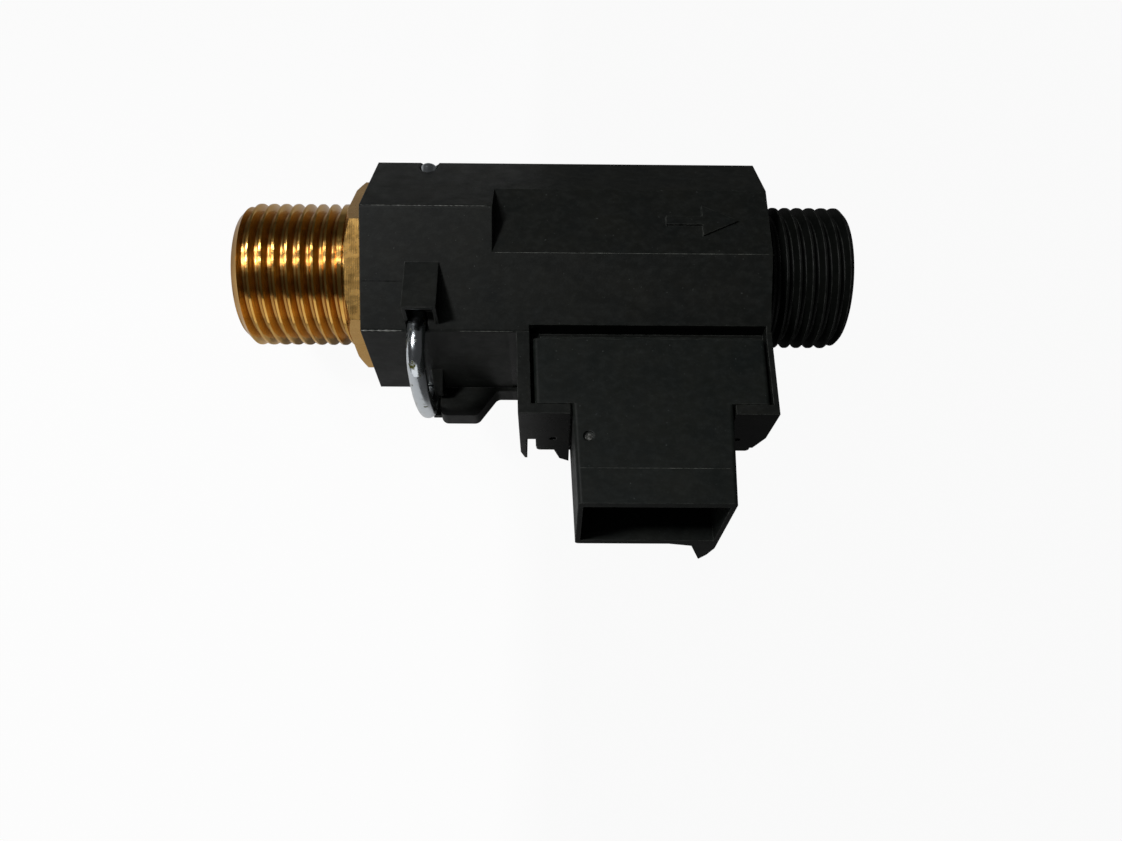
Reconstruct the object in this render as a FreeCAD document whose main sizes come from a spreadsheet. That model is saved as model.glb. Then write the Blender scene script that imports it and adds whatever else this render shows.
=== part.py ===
# In-line piston flow switch: a hexagonal plastic valve body with a brass swivel inlet nipple held by a
# wire clip, a magnet piston with its return spring inside, and a plug-in reed switch module outside.
# X runs with the flow. Everything is drawn in the tilted frame of the module: Y across the module, Z up
# through it. Each sub-part is then turned about the flow axis by module_tilt, which lays the body on
# one of its flats. The origin is the centre of the inlet thread's end face.
import FreeCAD, Part
import math
import os
import re

Vector = FreeCAD.Vector
Rotation = FreeCAD.Rotation
Placement = FreeCAD.Placement

doc = FreeCAD.newDocument("flow_switch")

# Driving dimensions in millimetres and degrees: alias, value, meaning
SIZES = [
    ("module_tilt", 60.0, "turn of the module about the flow axis, away from straight up"),
    ("loose_gap", 0.1, "gap between parts that are slid together"),
    ("slide_gap", 0.05, "radial running clearance"),
    ("bury", 0.6, "depth by which a moulded feature is drawn into its neighbour"),
    ("overcut", 1.0, "length by which a cut runs past what it cuts"),
    # hexagonal body
    ("outlet_length", 12.7, "length of the threaded outlet beyond the body"),
    ("body_flats", 29.2, "width across the body's flats"),
    ("edge_round", 0.5, "round of the body's long edges"),
    ("pad_inset", 17.9, "start of the marking flat, from the body's inlet end"),
    ("pad_cut", 3.1, "depth of the marking flat below the body's corner"),
    ("arrow_inset", 14.3, "tail of the flow arrow, from the body's outlet end"),
    ("arrow_length", 10.0, "length of the flow arrow"),
    ("arrow_width", 5.0, "width of the arrow's head"),
    ("arrow_stem", 1.4, "width of the arrow's stem"),
    ("arrow_relief", 0.35, "height of the arrow above the marking flat"),
    ("nipple_socket", 18.5, "bore that takes the nipple"),
    ("socket_depth", 16.8, "depth of the nipple's bore from the body's end face"),
    ("outlet_bore", 13.0, "bore of the outlet"),
    # pipe threads, parallel pipe thread of nominal size one half
    ("thread_major", 20.955, "outside diameter of the pipe thread"),
    ("thread_depth", 1.162, "depth of the pipe thread"),
    ("thread_pitch", 1.814, "pitch of the pipe thread"),
    ("thread_flank", 27.5, "half of the thread angle"),
    ("thread_root_flat", 0.3, "width of the thread's root"),
    ("outlet_lead_in", 0.7, "chamfer at the outlet's end"),
    ("relief_length", 0.8, "narrow neck between a thread and its shoulder"),
    ("relief_diameter", 20.0, "diameter of that neck"),
    # brass nipple
    ("nipple_lead_in", 1.3, "chamfer at the nipple's inlet end"),
    ("nipple_thread_length", 15.8, "inlet end face to the end of the nipple's thread"),
    ("nipple_thread_runout", 0.3, "length of full diameter left at the end of the nipple's thread"),
    ("nipple_thread_shift", 0.68, "length by which the nipple's thread starts ahead of its end face"),
    ("nipple_hex_length", 2.6, "length of the nipple's hexagon"),
    ("nipple_hex_flats", 24.0, "width across the nipple's flats"),
    ("nipple_hex_bevel", 0.8, "bevel of the hexagon's corners, along the axis"),
    ("nipple_bore", 13.0, "bore of the nipple"),
    ("nipple_lip", 0.6, "bevel at the mouth of the nipple's bore"),
    ("seal_play", 0.55, "play of a seal ring along its groove"),
    ("seal_section", 1.45, "section of a seal ring"),
    ("outer_seal_inset", 3.1, "middle of the outer seal, from the body's inlet end"),
    ("inner_seal_inset", 4.2, "middle of the inner seal, from the nipple's inner end"),
    # wire clip, with its hoods and guards on the body
    ("clip_inset", 7.7, "middle plane of the clip, from the body's inlet end"),
    ("clip_wire", 2.5, "diameter of the clip's wire"),
    ("clip_bite", 1.5, "depth to which the wire lies in the nipple's groove"),
    ("clip_front_tip", 13.2, "distance of the front leg's tip beyond the flow axis"),
    ("clip_rear_tip", 11.0, "distance of the rear leg's tip beyond the flow axis"),
    ("clip_rise", 5.7, "height of the bow's middle above the body's flat"),
    ("clip_bow", 22.0, "radius of the bow"),
    ("clip_corner", 4.0, "radius of the corners between bow and legs"),
    ("clip_hole_gap", 0.25, "clearance round the wire in its holes"),
    ("clip_tip_round", 0.5, "round of the leg tips"),
    ("hood_width", 4.6, "width of the hoods over the clip's legs"),
    ("hood_offset", 0.7, "offset of the hoods from the clip, downstream"),
    ("hood_wall", 2.7, "thickness of a hood outside the clip's hole"),
    ("hood_lip", 0.6, "wall of a hood at its open end"),
    ("hood_mouth_width", 3.6, "width of the hollow at a hood's open end"),
    ("hood_mouth_depth", 1.5, "depth of that hollow"),
    ("hood_start", 6.6, "foot of a hood"),
    ("hood_end", 13.8, "open end of a hood"),
    ("guard_gap", 0.3, "gap between the wire and the guard beside it"),
    ("guard_length", 5.65, "length of the guard's top"),
    ("guard_rise", 4.7, "height of the guard above the body's flat"),
    ("guard_thickness", 3.0, "thickness of the guard"),
    ("guard_slope", 2.8, "length of the guard's sloping end"),
    ("guard_rail_rise", 0.6, "height of the rail between guard and cradle"),
    ("guard_round", 1.1, "round of the guard's corners"),
    ("guard_wrap", 1.25, "reach of the guard's thin wall behind the clip's rear leg"),
    ("guard_wrap_drop", 1.0, "step from the guard's top down to that wall"),
    ("guard_foot", 6.0, "depth of the guard's foot below the body's flat"),
    ("pry_inset", 0.6, "left side of the pry ramp, from the clip's middle plane"),
    ("pry_width", 1.8, "width of the ramp beside the bow"),
    ("pry_taper", 0.3, "taper of the ramp's sides"),
    ("pry_rear", 7.2, "high end of the ramp, behind the flow axis"),
    ("pry_length", 5.5, "length of the ramp beside the bow"),
    ("pry_top", 1.6, "length of the ramp's level top"),
    ("pry_height", 2.0, "height of the ramp above the body's flat"),
    # cradle for the switch module
    ("cradle_inset", 21.2, "outer face of the cradle's left wall, from the body's inlet end"),
    ("cradle_wall", 1.75, "thickness of the left wall"),
    ("cradle_draft", 0.5, "draft of the left wall"),
    ("leg_width", 0.9, "thickness of the left wall's rear leg"),
    ("leg_taper", 0.55, "taper of that leg towards its tip"),
    ("cradle_depth", 15.0, "depth of the left wall from the front"),
    ("cradle_end_wall", 0.75, "thickness of the right wall"),
    ("cradle_end_lap", 0.1, "stand of the right wall beyond the body's end face"),
    ("cradle_end_foot", 3.6, "depth of the foot that carries the right wall"),
    ("cradle_bend", 0.3, "distance of the right wall's bend behind its outer face"),
    ("cradle_bend_place", 0.8, "distance of that bend from the flow axis"),
    ("cradle_bend_width", 0.45, "width of the right wall's sloping rear face"),
    ("cradle_corner_cut", 1.5, "cut across the right lip's rear corner"),
    ("cradle_gap_left", 0.55, "gap between the left wall and the module's flange"),
    ("cradle_gap_right", 0.25, "gap between the flange and the right wall"),
    ("cradle_band", 0.85, "height of the recess in the body above the flange"),
    ("cradle_band_depth", 2.0, "depth of that recess"),
    ("cradle_rear_wall", 1.0, "thickness of the rear wall"),
    ("cradle_rear_height", 6.0, "height of the rear wall"),
    ("lip_thickness", 1.4, "thickness of the lips over the module's flange"),
    ("lip_depth", 11.0, "depth of the lips from the front"),
    ("lip_gap", 0.2, "gap between a lip and the connector"),
    ("lip_notch_width", 1.3, "width of the notch beside the left wall's leg"),
    ("lip_notch_depth", 2.6, "depth of the notch"),
    ("lip_notch_drop", 2.5, "reach of the notch below the lip"),
    ("lip_tail_width", 2.2, "width of the left lip's tail"),
    ("lip_tail_tip", 1.35, "width of the tail's tip"),
    ("lip_tail_bevel", 1.0, "slope of the tail's end"),
    ("lip_step", 0.9, "step of the left lip's edge before its tail"),
    ("lip_tail_length", 5.2, "length of the left lip's tail"),
    ("lip_hole", 1.0, "diameter of the vent holes in the lips"),
    ("lip_hole_place", 2.8, "distance of a vent hole from the lip's rear edge"),
    ("left_hole_inset", 2.3, "distance of the left vent hole from the lip's inner edge"),
    ("right_hole_inset", 1.5, "distance of the right vent hole from the lip's inner edge"),
    # switch module
    ("module_clearance", 0.15, "gap between the module and the body's flat"),
    ("module_front", 8.4, "front face of the module and cradle"),
    ("flange_length", 31.6, "length of the flange at its foot"),
    ("flange_draft_left", 0.4, "draft of the flange's left side"),
    ("flange_draft_right", 0.1, "draft of the flange's right side"),
    ("flange_height", 9.75, "height of the flange"),
    ("flange_depth", 15.6, "depth of the flange from the front"),
    ("housing_wall", 1.5, "wall of the switch housing"),
    ("housing_round", 0.6, "round of the housing's upright edges"),
    ("shroud_inset", 5.3, "left side of the connector's foot, from the flange's left side"),
    ("shroud_length", 21.35, "length of the connector at its foot"),
    ("shroud_height", 13.9, "height of the connector above the flange"),
    ("shroud_draft_left", 0.7, "draft of the connector's left side"),
    ("shroud_draft_right", 0.5, "draft of the connector's right side"),
    ("shroud_draft_front", 0.05, "draft of the connector's front and rear"),
    ("shroud_wall", 1.5, "front and rear wall of the connector"),
    ("shroud_side_wall", 0.7, "side walls of the connector at its mouth"),
    ("socket_floor", 2.6, "height of the socket's floor above the flange"),
    ("key_width", 3.5, "width of the keying rib behind the connector"),
    ("key_shoulder", 2.0, "straight part of the rib's right side"),
    ("key_slant", 0.7, "slant of the rib's right side"),
    ("key_slant_end", 5.3, "end of that slant, from the connector's rear"),
    ("key_height", 7.4, "height of the keying rib"),
    ("key_root", 0.9, "height of the rib's run-out at its left side"),
    ("key_toe", 3.2, "length of that run-out"),
    ("key_length", 11.2, "length of the keying rib along the connector"),
    ("key_tip_inset", 1.6, "distance of the rib's edge from the connector's right side"),
    ("cover_thickness", 0.8, "thickness of the switch cover"),
    ("cover_inset", 1.0, "step between the flange and the cover"),
    ("cover_plug", 1.2, "height of the cover's locating rim"),
    ("cover_rim_wall", 1.0, "wall of the locating rim"),
    ("board_thickness", 1.0, "thickness of the circuit board"),
    ("board_rise", 4.8, "underside of the board above the flange's foot"),
    ("board_margin", 0.3, "gap between the board and the housing"),
    ("reed_drop", 2.4, "distance of the reed switch below the board"),
    ("reed_length", 16.0, "length of the glass"),
    ("reed_bore", 2.0, "bore of the glass"),
    ("reed_wall", 0.3, "wall of the glass"),
    ("reed_cap", 1.2, "length of each sealed end of the glass"),
    ("blade_thickness", 0.2, "thickness of the reed blades"),
    ("blade_width", 1.2, "width of the reed blades"),
    ("blade_overlap", 1.2, "overlap of the reed blades"),
    ("blade_gap", 0.16, "open gap between the reed blades"),
    ("lead_diameter", 0.6, "diameter of the reed's leads"),
    ("lead_reach", 2.0, "length of a lead outside the glass"),
    ("terminal_pitch", 5.0, "spacing of the terminals"),
    ("terminal_thickness", 0.8, "thickness of a terminal"),
    ("terminal_width", 2.2, "width of a terminal"),
    ("terminal_top", 8.2, "height of the terminals above the socket's floor"),
    ("terminal_tip", 0.8, "length of a terminal's pointed end"),
    ("terminal_tip_thickness", 0.3, "thickness of that end"),
    ("terminal_tip_width", 1.5, "width of that end"),
    ("carrier_height", 3.1, "height of the terminal carrier"),
    ("pin_diameter", 1.0, "diameter of the locating pin"),
    ("pin_length", 4.2, "length of the locating pin"),
    ("pin_inset", 2.15, "distance of the pin from the connector's left side"),
    ("pin_rise", 2.1, "height of the pin above the socket's floor"),
    ("pin_sink", 0.35, "depth of the dimple round the pin's head"),
    ("pin_dimple", 1.5, "diameter of that dimple"),
    # strainer in the nipple
    ("strainer_start", 11.0, "upstream face of the strainer"),
    ("strainer_rim", 2.0, "length of the strainer's rim"),
    ("strainer_length", 9.0, "length of the strainer"),
    ("strainer_cap", 1.0, "thickness of the strainer's end cap"),
    ("mesh_diameter", 9.2, "outside diameter of the mesh sleeve"),
    ("mesh_wall", 0.3, "thickness of the mesh sleeve"),
    ("mesh_hole", 1.1, "diameter of the mesh holes"),
    ("rib_width", 1.0, "width of the strainer's ribs"),
    ("rib_height", 0.8, "height of the strainer's ribs"),
    # piston group
    ("seat_thickness", 2.0, "thickness of the seat ring"),
    ("seat_lap", 1.0, "lap of the piston's head on the seat ring"),
    ("guide_bore", 12.0, "bore of the piston guide"),
    ("guide_wall", 1.95, "wall of the piston guide"),
    ("guide_end_lip", 1.2, "length of the guide beyond the snap ring"),
    ("guide_seal_section", 0.95, "section of the guide's seal"),
    ("guide_seal_inset", 4.1, "middle of the guide's seal, from the guide's inlet end"),
    ("guide_seal_play", 0.35, "play of the guide's seal along its groove"),
    ("piston_head_gap", 0.8, "gap between the piston's head and the guide's bore"),
    ("piston_head_length", 1.6, "length of the piston's head"),
    ("piston_length", 13.6, "length of the piston"),
    ("piston_travel", 8.0, "travel of the piston"),
    ("flute_diameter", 2.6, "diameter of the water flutes"),
    ("flute_offset", 0.4, "stand of the flutes' circle beyond the guide's bore"),
    ("magnet_diameter", 5.8, "diameter of the magnet"),
    ("magnet_length", 7.9, "length of the magnet"),
    ("cap_thickness", 1.9, "thickness of the magnet's cap"),
    ("spring_wire", 0.7, "wire of the return spring"),
    ("spring_mean", 8.8, "mean diameter of the return spring"),
    ("spring_packed", 4.8, "length of the return spring at the end of the travel"),
    ("spring_turns", 5.0, "turns of the return spring"),
    ("spring_seat_thickness", 1.5, "thickness of the spring seat"),
    ("spring_seat_hole", 6.4, "hole of the spring seat"),
    ("snap_thickness", 0.75, "thickness of the snap ring"),
    ("snap_cover", 0.8, "reach of the snap ring inside the guide's bore"),
    ("snap_seat", 0.5, "depth of the snap ring's groove"),
    ("snap_opening", 3.0, "opening of the snap ring"),
]

sheet = doc.addObject("Spreadsheet::Sheet", "Sizes")
for row, (alias, number, meaning) in enumerate(SIZES, start=1):
    sheet.set("A%d" % row, meaning)
    sheet.set("B%d" % row, str(number))
    sheet.setAlias("B%d" % row, alias)
doc.recompute()

ALIASES = {alias for alias, number, meaning in SIZES}


def value(alias):
    """A size read back from the sheet."""
    return float(sheet.get(alias))


# Places that several sub-parts share, each a formula on the sheet's sizes
CORNER = "(body_flats / sqrt(3))"
FLAT = "(body_flats / 2)"
PAD_HEIGHT = "(%s - pad_cut)" % CORNER
HEX_START = "(nipple_thread_length + relief_length)"
HEX_END = "(%s + nipple_hex_length)" % HEX_START
BODY_START = "(%s + loose_gap)" % HEX_END
SEAT_START = "(%s + socket_depth)" % BODY_START
NIPPLE_END = "(%s - loose_gap)" % SEAT_START
SEAL_FLOOR = "(nipple_socket - 2 * (seal_section + loose_gap))"
SEAL_PLACES = {"outer": "(%s + outer_seal_inset)" % BODY_START,
               "inner": "(%s - inner_seal_inset)" % NIPPLE_END}
GUIDE_START = "(%s + seat_thickness + loose_gap)" % SEAT_START
GUIDE_OUTER = "(guide_bore + 2 * guide_wall)"
CHAMBER_BORE = "(%s + loose_gap)" % GUIDE_OUTER
PISTON_HEAD = "(guide_bore - 2 * piston_head_gap)"
PISTON_START = "(%s + loose_gap / 2)" % GUIDE_START
PISTON_END = "(%s + piston_length)" % PISTON_START
MAGNET_START = "(%s - cap_thickness - magnet_length - loose_gap)" % PISTON_END
SPRING_LENGTH = "(piston_travel + spring_packed)"
SPRING_START = "(%s + loose_gap)" % PISTON_END
SPRING_SEAT_START = "(%s + %s + loose_gap)" % (SPRING_START, SPRING_LENGTH)
SNAP_START = "(%s + spring_seat_thickness + loose_gap)" % SPRING_SEAT_START
SNAP_GROOVE = "(guide_bore + 2 * snap_seat)"
GUIDE_END = "(%s + snap_thickness + guide_end_lip)" % SNAP_START
CHAMBER_END = "(%s + loose_gap)" % GUIDE_END
CLIP_PLACE = "(%s + clip_inset)" % BODY_START
CLIP_LEG = "(nipple_socket / 2 + clip_wire / 2 - clip_bite)"
CLIP_APEX = "(%s + clip_rise)" % FLAT
CLIP_HOLE = "(clip_wire + 2 * clip_hole_gap)"
HOOD_FACE = "(%s + %s / 2 + hood_wall)" % (CLIP_LEG, CLIP_HOLE)
GUARD_START = "(%s + clip_wire / 2 + guard_gap)" % CLIP_PLACE
CRADLE_START = "(%s + cradle_inset)" % BODY_START
CRADLE_INNER = "(%s + cradle_wall)" % CRADLE_START
FLANGE_START = "(%s + cradle_gap_left)" % CRADLE_INNER
FLANGE_END = "(%s + flange_length)" % FLANGE_START
CRADLE_END_INNER = "(%s + cradle_gap_right)" % FLANGE_END
CRADLE_END = "(%s + cradle_end_wall)" % CRADLE_END_INNER
BODY_END = "(%s - cradle_end_lap)" % CRADLE_END
FLOW_END = "(%s + outlet_length)" % BODY_END
COVER_BASE = "(%s + module_clearance)" % FLAT
FLANGE_BASE = "(%s + cover_thickness + loose_gap / 2)" % COVER_BASE
FLANGE_TOP = "(%s + flange_height)" % FLANGE_BASE
FLANGE_BACK = "(module_front - flange_depth)"
LIP_BASE = "(%s + loose_gap)" % FLANGE_TOP
LIP_TOP = "(%s + lip_thickness)" % LIP_BASE
LIP_BACK = "(module_front - lip_depth)"
BOARD_BASE = "(%s + board_rise)" % FLANGE_BASE
REED_HEIGHT = "(%s - reed_drop)" % BOARD_BASE
REED_PLACE = "(%s + flange_length / 2)" % FLANGE_START
SHROUD_START = "(%s + shroud_inset)" % FLANGE_START
SHROUD_END = "(%s + shroud_length)" % SHROUD_START
SHROUD_TOP = "(%s + shroud_height)" % FLANGE_TOP
SHROUD_MIDDLE = "(%s + shroud_length / 2)" % SHROUD_START
SOCKET_FLOOR = "(%s + socket_floor)" % FLANGE_TOP
SOCKET_LEFT = "(%s + shroud_draft_left + shroud_side_wall)" % SHROUD_START
SOCKET_RIGHT = "(%s - shroud_draft_right - shroud_side_wall)" % SHROUD_END
SOCKET_DEPTH = "(module_front - shroud_wall)"
PIN_PLACE = "(%s + pin_inset)" % SHROUD_START
PIN_HEIGHT = "(%s + pin_rise)" % SOCKET_FLOOR

# Turns that lay a primitive's own axis into the model
ALONG_FLOW = Rotation(Vector(0, 1, 0), 90)
HEXAGON_TURN = Rotation(Vector(1, 0, 0), 30) * ALONG_FLOW
ACROSS = Rotation(Vector(1, 0, 0), -90)
TAPER_UP = Rotation(Vector(1, 0, 0), 90)


def formula(text):
    """Puts the sheet's name before each size named in a formula."""
    return re.sub(r"[a-z_]+", lambda word: "Sizes." + word[0] if word[0] in ALIASES else word[0], text)


def number(text):
    """Works out a formula on the sheet's sizes as a plain number."""
    names = {alias: value(alias) for alias in ALIASES if alias in text}
    result = text
    for alias in sorted(names, key=len, reverse=True):
        result = re.sub(r"\b%s\b" % alias, repr(names[alias]), result)
    quantity = sheet.evalExpression(result)
    return float(quantity)


def primitive(kind, name, at, turn=None, **sizes):
    """One primitive solid whose sizes and place follow formulas on the sheet."""
    piece = doc.addObject("Part::" + kind, name)
    for size, text in sizes.items():
        piece.setExpression(size, formula(text))
    piece.Placement = Placement(Vector(), turn or Rotation())
    for axis, text in zip("xyz", at):
        piece.setExpression("Placement.Base." + axis, formula(text))
    return piece


def rod(name, start, end, diameter):
    """A cylinder on the flow axis."""
    return primitive("Cylinder", name, (start, "0", "0"), ALONG_FLOW,
                     Radius="(%s) / 2" % diameter, Height="(%s) - (%s)" % (end, start))


def cone(name, start, end, first, last):
    """A cone on the flow axis, from one diameter to another."""
    return primitive("Cone", name, (start, "0", "0"), ALONG_FLOW,
                     Radius1="(%s) / 2" % first, Radius2="(%s) / 2" % last,
                     Height="(%s) - (%s)" % (end, start))


def hexagon(name, start, end, flats):
    """A hexagonal bar on the flow axis, with flats above and below."""
    piece = primitive("Prism", name, (start, "0", "0"), HEXAGON_TURN,
                      Circumradius="(%s) / sqrt(3)" % flats, Height="(%s) - (%s)" % (end, start))
    piece.Polygon = 6
    return piece


def block(name, x, y, z):
    """A box between two formulas on each axis."""
    return primitive("Box", name, (x[0], y[0], z[0]),
                     Length="(%s) - (%s)" % (x[1], x[0]),
                     Width="(%s) - (%s)" % (y[1], y[0]),
                     Height="(%s) - (%s)" % (z[1], z[0]))


def post(name, x, y, z, diameter):
    """An upright cylinder, z giving its foot and top."""
    return primitive("Cylinder", name, (x, y, z[0]), None,
                     Radius="(%s) / 2" % diameter, Height="(%s) - (%s)" % (z[1], z[0]))


def crossbar(name, x, y, z, diameter):
    """A cylinder across the module, y giving its two ends."""
    return primitive("Cylinder", name, (x, y[0], z), ACROSS,
                     Radius="(%s) / 2" % diameter, Height="(%s) - (%s)" % (y[1], y[0]))


def plate(name, corners, direction, start, thickness):
    """A closed outline of (a, b) formulas pushed out along y or z.

    With direction "y" the outline lies in x and z, with "z" it lies in x and y.
    """
    outline = doc.addObject("Part::Polygon", name + "_outline")
    begin = number(start)
    if direction == "y":
        outline.Nodes = [Vector(number(a), begin, number(b)) for a, b in corners]
        push = Vector(0, 1, 0)
    else:
        outline.Nodes = [Vector(number(a), number(b), begin) for a, b in corners]
        push = Vector(0, 0, 1)
    outline.Close = True
    piece = doc.addObject("Part::Extrusion", name)
    piece.Base = outline
    piece.DirMode = "Custom"
    piece.Dir = push
    piece.Solid = True
    piece.setExpression("LengthFwd", formula(thickness))
    return piece


def ring(name, place, mean, section):
    """A round-section ring about the flow axis."""
    return primitive("Torus", name, (place, "0", "0"), ALONG_FLOW,
                     Radius1="(%s) / 2" % mean, Radius2="(%s) / 2" % section)


def joined(name, *pieces):
    """One solid made of several that meet."""
    whole = doc.addObject("Part::MultiFuse", name)
    whole.Shapes = list(pieces)
    whole.Refine = True
    return whole


def cut(name, base, *tools):
    """The base with every tool taken out of it."""
    result = doc.addObject("Part::Cut", name)
    result.Base = base
    result.Tool = tools[0] if len(tools) == 1 else joined(name + "_tools", *tools)
    result.Refine = True
    return result


def common(name, one, other):
    """What two solids share."""
    result = doc.addObject("Part::Common", name)
    result.Base = one
    result.Tool = other
    return result


def rounded(name, base, radius, wanted):
    """The base with the edges that wanted(edge) picks rounded."""
    doc.recompute()
    result = doc.addObject("Part::Fillet", name)
    result.Base = base
    size = value(radius)
    picked = [n for n, edge in enumerate(base.Shape.Edges, start=1) if wanted(edge)]
    result.Edges = [(n, size, size) for n in picked]
    return result


def runs_along(edge, direction):
    """True where an edge is a straight line along a direction."""
    if edge.Curve.TypeId != "Part::GeomLine":
        return False
    return abs(abs(edge.Curve.Direction.dot(direction)) - 1) < 1e-6


def placed(node, piece):
    """Gives a finished sub-part its name and its turn about the flow axis.

    A bare primitive has a place of its own, so it is held by a compound that carries the turn.
    """
    if piece.TypeId in ("Part::Cylinder", "Part::Torus", "Part::Sweep"):
        holder = doc.addObject("Part::Compound", node + "_holder")
        holder.Links = [piece]
        piece = holder
    piece.Label = node
    piece.Placement = Placement(Vector(), Rotation(Vector(1, 0, 0), value("module_tilt")))
    piece.setExpression("Placement.Rotation.Angle", formula("module_tilt"))
    parts[node] = piece
    return piece


parts = {}


def thread_groove(name, start, end):
    """The helical space between the crests of an outside pipe thread.

    Its section is a trapezium: the root's flat at the root diameter, opening by the flank angle to a
    little beyond the crests. It runs one pitch past both ends of the thread.
    """
    pitch = value("thread_pitch")
    root = value("thread_major") / 2 - value("thread_depth")
    over = value("thread_major") / 2 + value("slide_gap")
    root_half = value("thread_root_flat") / 2
    over_half = root_half + (over - root) * math.tan(math.radians(value("thread_flank")))
    helix = doc.addObject("Part::Helix", name + "_helix")
    helix.setExpression("Pitch", formula("thread_pitch"))
    helix.setExpression("Height", formula("(%s) - (%s) + thread_pitch" % (end, start)))
    helix.setExpression("Radius", formula("thread_major / 2 - thread_depth"))
    helix.SegmentLength = 1
    section = doc.addObject("Part::Polygon", name + "_section")
    section.Nodes = [Vector(root, 0, -root_half), Vector(over, 0, -over_half),
                     Vector(over, 0, over_half), Vector(root, 0, root_half)]
    section.Close = True
    doc.recompute()
    groove = doc.addObject("Part::Sweep", name)
    groove.Sections = [section]
    groove.Spine = (helix, ["Edge%d" % n for n in range(1, len(helix.Shape.Edges) + 1)])
    groove.Solid = True
    groove.Frenet = True
    groove.Placement = Placement(Vector(), ALONG_FLOW)
    groove.setExpression("Placement.Base.x", formula("(%s) - thread_pitch" % start))
    return groove


# Valve body

def body_hexagon():
    """The hexagonal bar with its long edges rounded, the marking flat and the recess above the module."""
    bar = hexagon("body_bar", BODY_START, BODY_END, "body_flats")
    soft = rounded("body_bar_soft", bar, "edge_round", lambda edge: runs_along(edge, Vector(1, 0, 0)))
    flat = block("body_pad_cut", (BODY_START + " + pad_inset", BODY_END + " + overcut"),
                 (PAD_HEIGHT, CORNER + " + overcut"), ("-" + CORNER, CORNER))
    band = block("body_band_cut", (CRADLE_INNER, CRADLE_END_INNER),
                 ("module_front - cradle_band_depth", CORNER), (FLAT + " - cradle_band", FLAT + " + overcut"))
    return cut("body_bar_flat", soft, flat, band)


def flow_arrow():
    """A raised plain arrow on the marking flat that shows the flow's direction."""
    tail = "(%s - arrow_inset)" % BODY_END
    neck = tail + " + arrow_length / 2"
    tip = tail + " + arrow_length"
    stem = "(arrow_stem / 2)"
    head = "(arrow_width / 2)"
    corners = [(tail, "-" + stem), (neck, "-" + stem), (neck, "-" + head), (tip, "0"),
               (neck, head), (neck, stem), (tail, stem)]
    return plate("body_arrow", corners, "y", PAD_HEIGHT + " - bury", "bury + arrow_relief")


def outlet_thread():
    """The threaded outlet stub, with its end bevelled and a neck beside the body."""
    inner = "(%s + relief_length)" % BODY_END
    bevel = "(%s - outlet_lead_in)" % FLOW_END
    neck = rod("outlet_neck", BODY_END + " - bury", inner, "relief_diameter")
    barrel = rod("outlet_barrel", inner, bevel, "thread_major")
    nose = cone("outlet_nose", bevel, FLOW_END, "thread_major", "thread_major - 2 * outlet_lead_in")
    stub = joined("outlet_stub", neck, barrel, nose)
    groove = thread_groove("outlet_groove", inner + " + thread_pitch / 2", FLOW_END)
    return cut("outlet_thread", stub, groove)


def clip_hoods():
    """The two hoods over the clip's legs, each hollow at its open end."""
    hoods = []
    middle = "(%s + hood_offset)" % CLIP_PLACE
    span = (middle + " - hood_width / 2", middle + " + hood_width / 2")
    space = (middle + " - hood_mouth_width / 2", middle + " + hood_mouth_width / 2")
    mouth = ("hood_end - hood_mouth_depth", "hood_end + overcut")
    hollow = "(%s - hood_lip)" % HOOD_FACE
    for side, outer, inner in (("front", HOOD_FACE, CLIP_LEG), ("rear", "-" + HOOD_FACE, "-" + CLIP_LEG)):
        reach = (inner, outer) if side == "front" else (outer, inner)
        room = ("0", hollow) if side == "front" else ("-" + hollow, "0")
        hood = block(side + "_hood_block", span, reach, ("hood_start", "hood_end"))
        hoods.append(cut(side + "_hood", hood, block(side + "_hood_mouth", space, room, mouth)))
    return hoods


def clip_guard():
    """The guard beside the bow's rear corner, with a thin wall behind the leg and a rail to the cradle."""
    top = "(%s + guard_rise)" % FLAT
    rail = "(%s + guard_rail_rise)" % FLAT
    top_end = "(%s + guard_length)" % GUARD_START
    slope_end = "(%s + guard_slope)" % top_end
    rail_end = CRADLE_START + " + bury"
    foot = "(%s - guard_foot)" % FLAT
    rear = "-module_front - guard_thickness"
    corners = [(GUARD_START, foot), (GUARD_START, top), (top_end, top), (slope_end, rail),
               (rail_end, rail), (rail_end, foot)]
    sharp = plate("clip_guard_sharp", corners, "y", rear, "guard_thickness")
    level = number(FLAT)
    soft = rounded("clip_guard", sharp, "guard_round",
                   lambda edge: runs_along(edge, Vector(0, 1, 0)) and edge.CenterOfMass.z > level)
    wrap = block("clip_guard_wrap", (GUARD_START + " - guard_wrap", GUARD_START + " + guard_round"),
                 (rear, "-(%s + clip_wire / 2 + guard_gap)" % CLIP_LEG), (foot, top + " - guard_wrap_drop"))
    return [soft, wrap]


def pry_ramp():
    """The small ramp beside the bow on the body's flat, where a screwdriver lifts the clip."""
    start = "(%s + pry_inset)" % CLIP_PLACE
    return primitive("Wedge", "pry_ramp", (start, "0", FLAT + " - bury"), TAPER_UP,
                     Xmin="0", Xmax="pry_width", X2min="pry_taper", X2max="pry_width - pry_taper",
                     Ymin="0", Ymax="bury + pry_height",
                     Zmin="pry_rear - pry_length", Zmax="pry_rear",
                     Z2min="pry_rear - pry_top", Z2max="pry_rear")


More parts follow.
